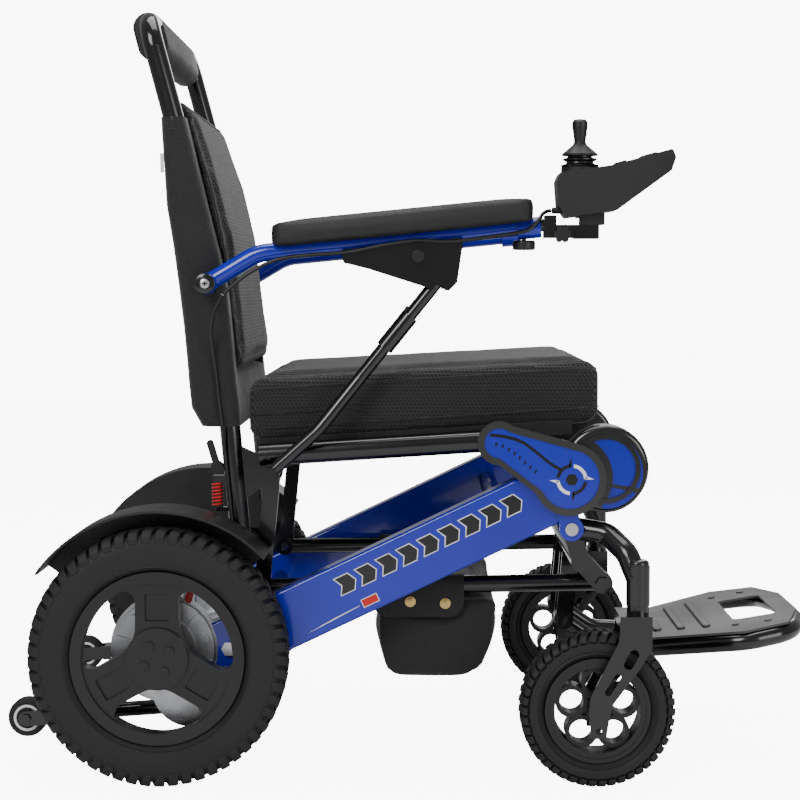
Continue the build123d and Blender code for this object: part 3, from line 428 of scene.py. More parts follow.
def grain_group():
    return group_of("Moulded grain", [("Vector", "Vector", None), ("Scale", "Float", 900.0)],
                    [("Height", "Float"), ("Patch", "Float")], build_grain)


def build_weave(tree, given, out):
    x, y, _ = xyz(tree, scaled(tree, given["Vector"], given["Scale"]))
    across = math_node(tree, "SINE", x)
    along = math_node(tree, "SINE", y)
    height = math_node(tree, "MULTIPLY_ADD", math_node(tree, "MULTIPLY", across, along), 0.5)
    height.node.inputs[2].default_value = 0.5
    tree.links.new(height, out["Height"])


def weave_group():
    return group_of("Plain weave", [("Vector", "Vector", None), ("Scale", "Float", 4000.0)],
                    [("Height", "Float")], build_weave)


def build_mesh_cloth(tree, given, out):
    x, y, _ = xyz(tree, scaled(tree, given["Vector"], given["Scale"]))
    sheared = tree.nodes.new("ShaderNodeCombineXYZ")
    tree.links.new(math_node(tree, "MULTIPLY_ADD", y, 0.5774), sheared.inputs[0])
    sheared.inputs[0].links[0].from_node.inputs[2].default_value = 0
    tree.links.new(x, sheared.inputs[0].links[0].from_node.inputs[2])
    tree.links.new(math_node(tree, "MULTIPLY", y, 1.1547), sheared.inputs[1])
    cell = tree.nodes.new("ShaderNodeTexVoronoi")
    cell.voronoi_dimensions = "2D"
    cell.feature = "F1"
    cell.inputs["Scale"].default_value = 1.0
    cell.inputs["Randomness"].default_value = 0.0
    tree.links.new(sheared.outputs[0], cell.inputs["Vector"])
    tree.links.new(ramp(tree, cell.outputs["Distance"], 0.27, 0.44), out["Thread"])


def mesh_cloth_group():
    return group_of("Spacer mesh", [("Vector", "Vector", None), ("Scale", "Float", 260.0)],
                    [("Thread", "Float")], build_mesh_cloth)


def build_dust(tree, given, out):
    geometry = tree.nodes.new("ShaderNodeNewGeometry")
    up = ramp(tree, xyz(tree, geometry.outputs["Normal"])[2], 0.2, 1.0)
    patch = ramp(tree, noise(tree, given["Vector"], 22.0, 4.0), 0.4, 0.75)
    settled = math_node(tree, "MULTIPLY", up, patch)
    tree.links.new(math_node(tree, "MULTIPLY", settled, given["Amount"]), out["Mask"])


def dust_group():
    return group_of("Settled dust", [("Vector", "Vector", None), ("Amount", "Float", 0.1)],
                    [("Mask", "Float")], build_dust)


# ---------------------------------------------------------------- materials
class Finish:
    """One material under construction: a Principled shader with its colour, roughness and bump chains."""

    def __init__(self, name, colour, rough=0.5, metal=0.0, coat=0.0, sheen=0.0, specular=0.5):
        self.mat = bpy.data.materials.new(name)
        self.mat.use_nodes = True
        self.tree = self.mat.node_tree
        self.shader = self.tree.nodes["Principled BSDF"]
        sockets = self.shader.inputs
        sockets["Base Color"].default_value = (*colour, 1)
        sockets["Roughness"].default_value = rough
        sockets["Metallic"].default_value = metal
        sockets["Coat Weight"].default_value = coat
        sockets["Coat Roughness"].default_value = 0.06
        sockets["Sheen Weight"].default_value = sheen
        sockets["Sheen Roughness"].default_value = 0.4
        sockets["Specular IOR Level"].default_value = specular
        coordinate = self.tree.nodes.new("ShaderNodeTexCoord")
        self.place = coordinate.outputs["Object"]
        self.uv = coordinate.outputs["UV"]
        self.colour = None
        self.base = colour

    def use(self, tree, **values):
        node = self.tree.nodes.new("ShaderNodeGroup")
        node.node_tree = tree
        for label, value in values.items():
            socket = node.inputs[label]
            if isinstance(value, (int, float)):
                socket.default_value = value
            else:
                self.tree.links.new(value, socket)
        return node.outputs

    def mix(self, mask, colour, fac=None):
        """Lays a colour over the present one where the mask is 1."""
        node = self.tree.nodes.new("ShaderNodeMix")
        node.data_type = "RGBA"
        if self.colour is None:
            node.inputs["A"].default_value = (*self.base, 1)
        else:
            self.tree.links.new(self.colour, node.inputs["A"])
        node.inputs["B"].default_value = (*colour, 1)
        if fac is not None:
            mask = math_node(self.tree, "MULTIPLY", mask, fac)
        self.tree.links.new(mask, node.inputs["Factor"])
        self.colour = node.outputs["Result"]
        self.tree.links.new(self.colour, self.shader.inputs["Base Color"])
        return self

    def roughness(self, mask, low, high):
        node = self.tree.nodes.new("ShaderNodeMapRange")
        node.inputs["To Min"].default_value = low
        node.inputs["To Max"].default_value = high
        self.tree.links.new(mask, node.inputs["Value"])
        self.tree.links.new(node.outputs["Result"], self.shader.inputs["Roughness"])
        return self

    def bump(self, height, distance, strength=1.0):
        node = self.tree.nodes.new("ShaderNodeBump")
        node.inputs["Strength"].default_value = strength
        node.inputs["Distance"].default_value = distance
        self.tree.links.new(height, node.inputs["Height"])
        if self.shader.inputs["Normal"].is_linked:
            self.tree.links.new(self.shader.inputs["Normal"].links[0].from_socket, node.inputs["Normal"])
        self.tree.links.new(node.outputs["Normal"], self.shader.inputs["Normal"])
        return self

    def dusted(self, amount, colour=(0.10, 0.098, 0.093)):
        return self.mix(self.use(dust_group(), Vector=self.place, Amount=amount)["Mask"], colour)


def tint(colour, factor):
    return tuple(min(1.0, c * factor) for c in colour)


def gloss_paint(name, colour, coat=0.5):
    """Painted steel: deep gloss with orange-peel ripple and a trace of dust."""
    f = Finish(name, colour, 0.28, coat=coat)
    grain = f.use(grain_group(), Vector=f.place, Scale=420.0)
    f.mix(grain["Patch"], tint(colour, 0.82), 0.6)
    f.roughness(grain["Patch"], 0.16, 0.24)
    f.bump(grain["Height"], 0.00005, 0.3)
    return f.dusted(0.015).mat


def moulded(name, colour, rough=0.45, grain_scale=1400.0, depth=0.00012, dust=0.10, sheen=0.0):
    """Moulded plastic or rubber with a fine grain."""
    f = Finish(name, colour, rough, sheen=sheen)
    grain = f.use(grain_group(), Vector=f.place, Scale=grain_scale)
    f.mix(grain["Patch"], tint(colour, 1.35), 0.7)
    f.roughness(grain["Patch"], rough - 0.05, rough + 0.08)
    f.bump(grain["Height"], depth, 0.8)
    return f.dusted(dust).mat


def metal(name, colour, rough=0.3, depth=0.00008, scale=700.0):
    f = Finish(name, colour, rough, metal=1.0)
    grain = f.use(grain_group(), Vector=f.place, Scale=scale)
    f.mix(grain["Patch"], tint(colour, 0.72), 0.6)
    f.roughness(grain["Patch"], rough - 0.08, rough + 0.12)
    f.bump(grain["Height"], depth, 0.6)
    return f.mat


def woven(name, colour, scale=3600.0, depth=0.00025, sheen=0.35, rough=0.75):
    """Plain woven nylon, on the piece's own map, with the raised threads painted lighter as a painted
    highlight.
    """
    f = Finish(name, colour, rough, sheen=sheen)
    height = f.use(weave_group(), Vector=f.uv, Scale=scale)["Height"]
    # Painted highlight: the weave's raised threads are painted lighter than its hollows.
    f.mix(height, tint(colour, 2.2), 0.6)
    folds = noise(f.tree, f.place, 14.0, 4.0)
    f.bump(height, depth, 0.7)
    f.bump(folds, 0.014, 0.5)
    return f.dusted(0.05).mat


def spacer_mesh(name, colour, scale=195.0):
    """Knitted spacer mesh: a hexagonal net whose small holes are painted dark, as painted shade inside the
    holes.
    """
    # Painted shade: the base colour, a quarter of the cloth's, darkens the mesh's holes in place of the
    # shade inside them.
    f = Finish(name, tint(colour, 0.25), 0.8, sheen=0.2)
    thread = f.use(mesh_cloth_group(), Vector=f.uv, Scale=scale)["Thread"]
    f.mix(thread, tint(colour, 2.9))
    f.bump(thread, 0.0014, 1.0)
    folds = noise(f.tree, f.place, 8.0, 3.0)
    f.bump(folds, 0.012, 0.2)
    return f.mat


def tyre_rubber(name, colour):
    f = Finish(name, colour, 0.62, specular=0.4)
    grain = f.use(grain_group(), Vector=f.place, Scale=1100.0)
    f.mix(grain["Patch"], tint(colour, 1.5), 0.8)
    f.roughness(grain["Patch"], 0.55, 0.75)
    f.bump(grain["Height"], 0.00015, 0.7)
    return f.dusted(0.12).mat


def cover_plastic(name, blue):
    """Drive cover: dark bevelled rim round a sunk blue face."""
    f = Finish(name, (0.020, 0.020, 0.018), 0.26, coat=0.6)
    depth = math_node(f.tree, "ABSOLUTE", xyz(f.tree, f.place)[1])
    sunk = math_node(f.tree, "MULTIPLY", math_node(f.tree, "LESS_THAN", depth, 0.2604),
                     math_node(f.tree, "GREATER_THAN", depth, 0.2595))
    f.mix(sunk, blue)
    grain = f.use(grain_group(), Vector=f.place, Scale=700.0)
    f.roughness(grain["Patch"], 0.22, 0.32)
    f.bump(grain["Height"], 0.00005, 0.4)
    return f.dusted(0.05).mat


def battery_plastic(name, black):
    f = Finish(name, black, 0.2, coat=0.8)
    grain = f.use(grain_group(), Vector=f.place, Scale=500.0)
    f.mix(grain["Patch"], tint(black, 1.6), 0.8)
    f.roughness(grain["Patch"], 0.16, 0.26)
    f.bump(grain["Height"], 0.00004, 0.4)
    return f.dusted(0.06).mat


FINISHES = {}


def finish_for(slot):
    """The material of a record slot, made once."""
    if slot in FINISHES:
        return FINISHES[slot]
    c = bpy.context.scene.wheelchair_colours
    blue, black, plastic = tuple(c.blue), tuple(c.black), tuple(c.plastic)
    cloth, red, silver = tuple(c.cloth), tuple(c.red), tuple(c.silver)
    makers = {
        "frame_blue": lambda: gloss_paint("Gloss blue paint", blue),
        "frame_black": lambda: gloss_paint("Gloss black paint", black),
        "cover_shell": lambda: cover_plastic("Drive cover plastic", blue),
        "motor_cast": lambda: metal("Cast aluminium", silver, 0.34, 0.0002, 500.0),
        "fender": lambda: moulded("Mudguard plastic", tint(plastic, 1.1), 0.42),
        "fastener_steel": lambda: metal("Zinc steel", (0.72, 0.72, 0.74), 0.25),
        "brass": lambda: metal("Brass", tuple(c.brass), 0.28),
        "tyre": lambda: tyre_rubber("Tyre rubber", tuple(c.tyre)),
        "rim": lambda: moulded("Rim plastic", tint(plastic, 0.9), 0.36),
        "lever_red": lambda: moulded("Red plastic", red, 0.3, 900.0, 0.00005, 0.02),
        "battery_case": lambda: battery_plastic("Battery plastic", tint(black, 1.2)),
        "tread_sheet": lambda: moulded("Footplate sheet", tuple(c.tread_sheet), 0.5, 2200.0, 0.0003, 0.15),
        "bag_cloth": lambda: woven("Bag nylon", cloth),
        "seat_mesh": lambda: spacer_mesh("Seat spacer mesh", cloth),
        "cushion_mesh": lambda: spacer_mesh("Back spacer mesh", cloth),
        "back_cloth": lambda: woven("Sleeve nylon", cloth, 3000.0, 0.0003),
        "grip_foam": lambda: moulded("Grip foam", tint(cloth, 1.1), 0.6, 1800.0, 0.0003, 0.04),
        "pad_foam": lambda: moulded("Armrest foam", tint(cloth, 1.3), 0.55, 1500.0, 0.0004, 0.05),
        "controller_shell": lambda: moulded("Controller plastic", tint(plastic, 0.8), 0.42, 1600.0,
                                            0.0002, 0.05),
        "knob_plastic": lambda: moulded("Knob plastic", tint(plastic, 0.6), 0.4),
        "key_rubber": lambda: moulded("Key rubber", tint(plastic, 1.4), 0.55),
        "boot_rubber": lambda: moulded("Boot rubber", tint(plastic, 0.5), 0.22, 1200.0, 0.00005, 0.0),
        "gimbal_metal": lambda: metal("Gimbal metal", (0.6, 0.6, 0.62)),
        "cable_jacket": lambda: moulded("Cable jacket", tint(plastic, 0.5), 0.35),
        "thread": lambda: moulded("Grey thread", (0.035, 0.035, 0.037), 0.6, 900.0, 0.00005, 0.0),
        "label_white": lambda: moulded("White label", (0.75, 0.75, 0.76), 0.5, 600.0, 0.00004, 0.0),
        "label_blue": lambda: gloss_paint("Blue label", blue, 0.3),
        # The black label finish also colours the hinge screws' cross, which is painted shade in its recess.
        "label_black": lambda: gloss_paint("Black label and painted shade", tint(black, 1.3), 0.3),
    }
    FINISHES[slot] = makers[slot]()
    return FINISHES[slot]


def settle(obj, slot, body):
    """Last step of each new piece: its finish, picked by its record slot, and the body it rides on."""
    paint(obj, finish_for(slot))
    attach(obj, body)
    return obj


# ---------------------------------------------------------------- pieces
class WHEELCHAIR_OT_finishes(bpy.types.Operator):
    """Give every frame node its finish"""
    bl_idname = "wheelchair.finishes"
    bl_label = "Frame finishes"

    def execute(self, context):
        for entry in frame["record"]["subparts"]:
            paint(frame["nodes"][entry["node"]], finish_for(entry["material_slot"]))
        return {"FINISHED"}


def lug(name, centre, top, shoulder, root, half, length, skew):
    """One tread block with a shoulder leg: a cross-section pushed out round the tyre and skewed."""
    section = [(top, 0.0006), (top, half * 0.62), (top - 0.0022, half * 0.86), (shoulder, half),
               (root, half + 0.0004), (root, half * 0.8), (shoulder - 0.002, half * 0.72),
               (top - 0.0075, half * 0.5), (top - 0.0085, 0.0006)]
    points = [(centre[0] + r, centre[1] + y, centre[2] - length / 2 + skew * y) for r, y in section]
    obj = loop_shape(name, points, fill=True)
    edit(obj)
    bpy.ops.mesh.extrude_region_move(TRANSFORM_OT_translate={"value": (0, 0, length)})
    done()
    outward(obj)
    add_bevel(obj, 0.0009, 1, 30)
    return obj


def tyre(side, sign, kind):
    """One tyre: spun carcass with lugs on both shoulders and a bead line on each wall."""
    sizes = bpy.context.scene.wheelchair_sizes
    if kind == "rear":
        centre = Vector((REAR_AXLE.x, sign * REAR_AXLE.y, REAR_AXLE.z))
        outer, inner, half, count, length = 0.159, 0.1066, 0.0281, sizes.drive_lugs, 0.0118
        root, shoulder = 0.1425, 0.150
    else:
        centre = Vector((CASTER_AXLE.x, sign * CASTER_AXLE.y, CASTER_AXLE.z))
        outer, inner, half, count, length = 0.095, 0.0646, 0.0246, sizes.castor_lugs, 0.0088
        root, shoulder = 0.0850, 0.0895
    crown = outer - 0.0045
    section = [
        (crown, 0), (crown - 0.0008, half * 0.5), (crown - 0.0035, half * 0.8), (crown - 0.009, half * 0.96),
        (root - 0.002, half), (root - 0.006, half * 1.01), ((root + inner) / 2, half * 1.0),
        (inner + 0.008, half * 0.93), (inner + 0.006, half * 0.99), (inner + 0.0045, half * 0.93),
        (inner + 0.0022, half * 0.80), (inner + 0.0001, half * 0.72),
    ]
    section = section + [(r, -y) for r, y in reversed(section[1:])]
    name = f"{kind}_tyre_tread_{side}"
    body = revolve(name, section, centre, 2 * count)
    first = lug(name + "_lug_a", centre, outer, shoulder, root, half, length, 0.28)
    second = copy_of(first, name + "_lug_b")
    step = math.pi / count
    for vertex in second.data.vertices:
        y = vertex.co.y - centre.y
        vertex.co.y = centre.y - y
    edit(second)
    bpy.ops.mesh.flip_normals()
    done()
    turn = Matrix.Translation(centre) @ Matrix.Rotation(step, 4, "Y") @ Matrix.Translation(-centre)
    second.data.transform(turn)
    lugs = join(first, second)
    ring_copies(lugs, centre, count)
    soften(lugs, 25)
    whole = join(body, lugs)
    settle(whole, "tyre", f"rear_wheel_{side}" if kind == "rear" else f"castor_wheel_{side}")
    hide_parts(("rear_tyre_" if kind == "rear" else "caster_tyre_") + side)
    return whole


class WHEELCHAIR_OT_tyres(bpy.types.Operator):
    """Model the treaded tyres and the rings on the anti-tip wheels"""
    bl_idname = "wheelchair.tyres"
    bl_label = "Tyres"

    def execute(self, context):
        for side, sign in SIDES:
            tyre(side, sign, "rear")
            tyre(side, sign, "castor")
            centre = Vector((TIP_AXLE.x, sign * TIP_AXLE.y, TIP_AXLE.z))
            for face, label in ((-1, "outer"), (1, "inner")):
                y = face * 0.0098
                section = band(0.0137, 0.0168, y - 0.0009, y + 0.0009)
                ring = revolve(f"anti_tip_ring_{label}_{side}", section, centre, 48, 30)
                settle(ring, "label_white", f"anti_tip_{side}")
        return {"FINISHED"}


def seat_top(x, up=0.0):
    """Height of the seat cushion's lower face, plus a rise."""
    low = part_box("seat_cushion")[0]
    return low.z + (x - low.x) * 0.0647 + up


class WHEELCHAIR_OT_seat(bpy.types.Operator):
    """Make the seat cushion, its piping and zip, and the sling beneath it"""
    bl_idname = "wheelchair.seat"
    bl_label = "Seat"

    def execute(self, context):
        sizes = context.scene.wheelchair_sizes
        cushion = puffed("seat_cushion_cover", "seat_cushion", 0.006, 0.003, sizes.seat_puff,
                         flat=[(0, 0, -1)])
        settle(cushion, "seat_mesh", "seat")
        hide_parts("seat_cushion")
        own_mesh(cushion)
        low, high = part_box("seat_cushion")
        x0, x1, half = low.x + 0.004, high.x - 0.004, high.y - 0.003
        pieces = []
        for label, rise in (("upper", 0.066), ("lower", 0.016)):
            path = []
            for a, b in (((x0, -half), (x1, -half)), ((x1, -half), (x1, half)), ((x1, half), (x0, half)),
                         ((x0, half), (x0, -half))):
                for i in range(24):
                    x = a[0] + (b[0] - a[0]) * i / 24
                    y = a[1] + (b[1] - a[1]) * i / 24
                    path.append((x, y, seat_top(x, rise)))
            pieces.append(line_piece(f"seat_piping_{label}", [laid_on(cushion, path, 0.0004)], 0.0016, True))
        path = [(x0 + 0.004 + 0.0055 * i, -half, seat_top(x0 + 0.0055 * i, 0.036)) for i in range(26)]
        zip_track = line_piece("seat_zip_track", [laid_on(cushion, path, 0.0006)], 0.0024, False, 1)
        rear, front, under, over = x0 + 0.012, 0.100, -0.0024, -0.0008
        outline = [(rear, seat_top(rear, under)), (front, seat_top(front, under)),
                   (front, seat_top(front, over)), (rear, seat_top(rear, over))]
        sling = slab("seat_sling", outline, -0.206, 0.206)
        box_uv(sling)
        settle(sling, "bag_cloth", "seat")
        for side, sign in SIDES:
            outline = [(x0 + 0.010, seat_top(x0, -0.012)), (0.195, seat_top(0.195, -0.016)),
                       (0.195, seat_top(0.195, 0.002)), (x0 + 0.010, seat_top(x0, 0.004))]
            skirt = slab(f"seat_sling_edge_{side}", outline, sign * 0.2085 - 0.0008, sign * 0.2085 + 0.0008)
            box_uv(skirt)
            settle(skirt, "bag_cloth", "seat")
        for piece in pieces + [zip_track]:
            settle(piece, "bag_cloth", "seat")
            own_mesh(piece)
        return {"FINISHED"}


SLEEVE = [
    (0.436, -0.270, -0.2215), (0.459, -0.283, -0.2225), (0.498, -0.287, -0.2270), (0.503, -0.287, -0.2275),
    (0.560, -0.292, -0.2325), (0.611, -0.298, -0.2375), (0.658, -0.304, -0.2485), (0.712, -0.3125, -0.2618),
    (0.765, -0.3155, -0.2748), (0.806, -0.3180, -0.2845), (0.8215, -0.3185, -0.2884),
]
SLEEVE_HALF = 0.2208
RECESS_FROM = 0.5
RECESS_HALF = 0.1862
RECESS_DEEP = 0.0150


def sleeve_ring(z, rear, front, half, count=8):
    """One level of the back sleeve: rounded round the tubes, its front sunk where the cushion sits."""
    deep = RECESS_DEEP if z > RECESS_FROM else 0.0
    one = [(front - deep, RECESS_HALF - 0.0006, z), (front, RECESS_HALF, z)]
    for corner, radius, start in ((front, 0.0148, 0.0), (rear, 0.0160, 0.5)):
        middle = corner - radius if corner == front else corner + radius
        for i in range(count + 1):
            a = math.pi * (start + 0.5 * i / count)
            one.append((middle + radius * math.cos(a), half - radius + radius * math.sin(a), z))
    return one + [(x, -y, level) for x, y, level in reversed(one)]


def raise_top(obj, start, end, amount):
    """Stretches a piece upwards and a little rearwards between two heights, and lifts all above them."""
    for vertex in obj.data.vertices:
        share = min(1.0, max(0.0, (vertex.co.z - start) / (end - start)))
        vertex.co.z += amount * share
        vertex.co.x -= amount * 0.25 * share


class WHEELCHAIR_OT_back(bpy.types.Operator):
    """Make the quilted back sleeve, the back cushion, their seams and the tag"""
    bl_idname = "wheelchair.back"
    bl_label = "Back"

    def execute(self, context):
        sizes = context.scene.wheelchair_sizes
        rings = []
        for (z0, r0, f0), (z1, r1, f1) in zip(SLEEVE, SLEEVE[1:]):
            steps = max(1, round((z1 - z0) / 0.010))
            for i in range(steps):
                t = i / steps
                z, rear, front = z0 + (z1 - z0) * t, r0 + (r1 - r0) * t, f0 + (f1 - f0) * t
                rings.append(sleeve_ring(z, rear, front, SLEEVE_HALF))
        rings.append(sleeve_ring(*SLEEVE[-1], SLEEVE_HALF))
        count = len(rings[0])
        vertices = [point for ring in rings for point in ring]
        faces = []
        for k in range(len(rings) - 1):
            for i in range(count):
                a, b = k * count + i, k * count + (i + 1) % count
                faces.append((a, b, b + count, a + count))
        mesh = bpy.data.meshes.new("back_sleeve")
        mesh.from_pydata(vertices, [], faces)
        sleeve = bpy.data.objects.new("back_sleeve", mesh)
        context.scene.collection.objects.link(sleeve)
        outward(sleeve)
        edit(sleeve)
        bpy.ops.mesh.subdivide(number_cuts=1)
        done()
        only(sleeve)
        solid = sleeve.modifiers.new("Solidify", "SOLIDIFY")
        solid.thickness = 0.0016
        solid.offset = -1
        bpy.ops.object.modifier_apply(modifier=solid.name)
        soften(sleeve, 60)
        box_uv(sleeve)
        settle(sleeve, "back_cloth", "back")
        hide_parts("back_panel")
        seams = []
        for label, sign in (("near", -1), ("far", 1)):
            for share, which in ((0.28, "rear"), (0.74, "front")):
                path = [(r + (f - r) * share, sign * SLEEVE_HALF, z) for z, r, f in SLEEVE]
                seams.append(stitches(f"sleeve_seam_{which}_{label}", sleeve, path, lift=0.0004))
            for level in (2, 5, 7, 9):
                z, r, f = SLEEVE[level]
                path = [(r + (f - r) * share, sign * SLEEVE_HALF, z) for share in (0.30, 0.5, 0.72)]
                seams.append(stitches(f"sleeve_cross_{level}_{label}", sleeve, path, lift=0.0004))
        outline = [(-0.3178, 0.752), (-0.3132, 0.752), (-0.3138, 0.776), (-0.3184, 0.776)]
        tag = slab("sleeve_tag", outline, -0.2218, -0.2212)
        settle(tag, "label_white", "back")
        thread = join(*seams)
        thread.name = "sleeve_thread"
        settle(thread, "thread", "back")
        cushion = puffed("back_cushion_cover", "back_cushion", 0.005, 0.0025, sizes.back_puff,
                         flat=[(-0.97, 0, -0.23)])
        raise_top(cushion, 0.740, 0.838, 0.013)
        settle(cushion, "cushion_mesh", "back")
        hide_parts("back_cushion")
        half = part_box("back_cushion")[1].y
        line = [(-0.218, 0.505), (-0.2222, 0.530), (-0.2310, 0.590), (-0.2410, 0.674), (-0.2590, 0.748),
                (-0.2760, 0.800)]
        path = [(x, -half + 0.004, z) for x, z in line]
        path += [(-0.2870, -half + 0.034, 0.836), (-0.2870, half - 0.034, 0.836)]
        path += [(x, half - 0.004, z) for x, z in reversed(line)]
        piping = line_piece("back_piping", [laid_on(cushion, dense(path, 0.012), 0.0002)], 0.0017, True)
        settle(piping, "bag_cloth", "back")
        return {"FINISHED"}


class WHEELCHAIR_OT_bag(bpy.types.Operator):
    """Make the storage bag with its flap and snaps"""
    bl_idname = "wheelchair.bag"
    bl_label = "Storage bag"

    def execute(self, context):
        bag = puffed("bag_shell", "seat_bag", 0.006, 0.006, 0.008, pressure=2.0)
        settle(bag, "bag_cloth", "lower_bars")
        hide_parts("seat_bag")
        for side, sign in SIDES:
            bar = Vector((0.004, sign * 0.187, 0.232))
            face = sign * (0.187 + 0.0132)
            left, right, low, radius = -0.056, 0.060, 0.1926, 0.020
            outline = [(left, 0.2345), (right, 0.2345)]
            for i in range(7):
                a = -0.5 * math.pi * i / 6
                outline.append((right - radius + radius * math.cos(a), low + radius + radius * math.sin(a)))
            for i in range(7):
                a = -0.5 * math.pi - 0.5 * math.pi * i / 6
                outline.append((left + radius + radius * math.cos(a), low + radius + radius * math.sin(a)))
            flap = slab(f"bag_flap_{side}", outline, face - 0.0007, face + 0.0007, 0.0004)
            wrap = []
            for reach, steps in ((0.0139, range(13)), (0.0125, range(12, -1, -1))):
                for i in steps:
                    a = math.pi * i / 12
                    wrap.append((left, bar.y + sign * reach * math.cos(a), bar.z + reach * math.sin(a)))
            over = loop_shape(f"bag_wrap_{side}", wrap, fill=True)
            edit(over)
            bpy.ops.mesh.extrude_region_move(TRANSFORM_OT_translate={"value": (right - left, 0, 0)})
            done()
            outward(over)
            flap = join(flap, over)
            soften(flap, 35)
            box_uv(flap)
            settle(flap, "bag_cloth", "lower_bars")
            inset = [(left + 0.004, 0.228), (left + 0.004, low + 0.020), (left + 0.022, low + 0.004),
                     (right - 0.022, low + 0.004), (right - 0.004, low + 0.020), (right - 0.004, 0.228)]
            inset = [(x, face + sign * 0.0008, z) for x, z in inset]
            thread = stitches(f"bag_stitching_{side}", flap, inset, 0.0048, 0.0028, 0.0003)
            settle(thread, "thread", "lower_bars")
            for label, x, z in (("rear", -0.008, 0.2125), ("front", 0.0363, 0.2102)):
                y = face + sign * 0.0007
                snap = disc(f"bag_snap_{label}_{side}", (x, z), 0.0070, y, sign * 0.0016)
                cap = disc(f"bag_snap_cap_{label}_{side}", (x, z), 0.0046, y, sign * 0.0026)
                settle(join(snap, cap), "brass", "lower_bars")
        return {"FINISHED"}


class WHEELCHAIR_OT_pads(bpy.types.Operator):
    """Make the armrest pads and the push grip's sleeve"""
    bl_idname = "wheelchair.pads"
    bl_label = "Pads and grip"

    def execute(self, context):
        for side, _ in SIDES:
            pad = puffed(f"armrest_cushion_{side}", f"armrest_pad_{side}", 0.004, 0.0015, 0.003,
                         flat=[(0, 0, -1)], frames=8)
            settle(pad, "pad_foam", f"armrest_{side}")
            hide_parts(f"armrest_pad_{side}")
        low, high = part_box("push_grip")
        middle = (low + high) / 2
        tilt = Matrix.Rotation(math.radians(-14), 3, "Y")
        section = []
        for i in range(40):
            a = 2 * math.pi * i / 40
            x = 0.0196 * math.cos(a)
            z = 0.0196 * math.sin(a) + math.copysign(0.0108, math.sin(a)) if abs(math.sin(a)) > 1e-6 else 0
            section.append(tilt @ Vector((x, 0, z)))
        points = [(middle.x + p.x, low.y + 0.002, middle.z + p.z) for p in section]
        grip = loop_shape("push_grip_sleeve", points, True)
        edit(grip)
        bpy.ops.mesh.extrude_region_move(TRANSFORM_OT_translate={"value": (0, high.y - low.y - 0.004, 0)})
        done()
        outward(grip)
        add_bevel(grip, 0.005, 4, 60)
        soften(grip, 40)
        settle(grip, "grip_foam", "back")
        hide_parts("push_grip")
        return {"FINISHED"}


def face_depth(node, x, z, sign):
    """How far from the middle plane a node's outer face lies at an X and a height."""
    hit, place, _, _ = frame["nodes"][node].ray_cast(Vector((x, sign * 0.5, z)), Vector((0, -sign, 0)))
    return abs(place.y) if hit else abs(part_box(node)[0].y)


def round_points(centre, radius, sides):
    """Points of a circle or regular polygon, as (x, z)."""
    turns = [2 * math.pi * i / sides for i in range(sides)]
    return [(centre[0] + radius * math.cos(a), centre[1] + radius * math.sin(a)) for a in turns]


def disc(name, centre, radius, y, thick, sides=32, bevel=0.0006):
    """Short round piece from a face along Y, with a bevelled rim."""
    obj = slab(name, round_points(centre, radius, sides), min(y, y + thick), max(y, y + thick), bevel)
    soften(obj, 40)
    return obj


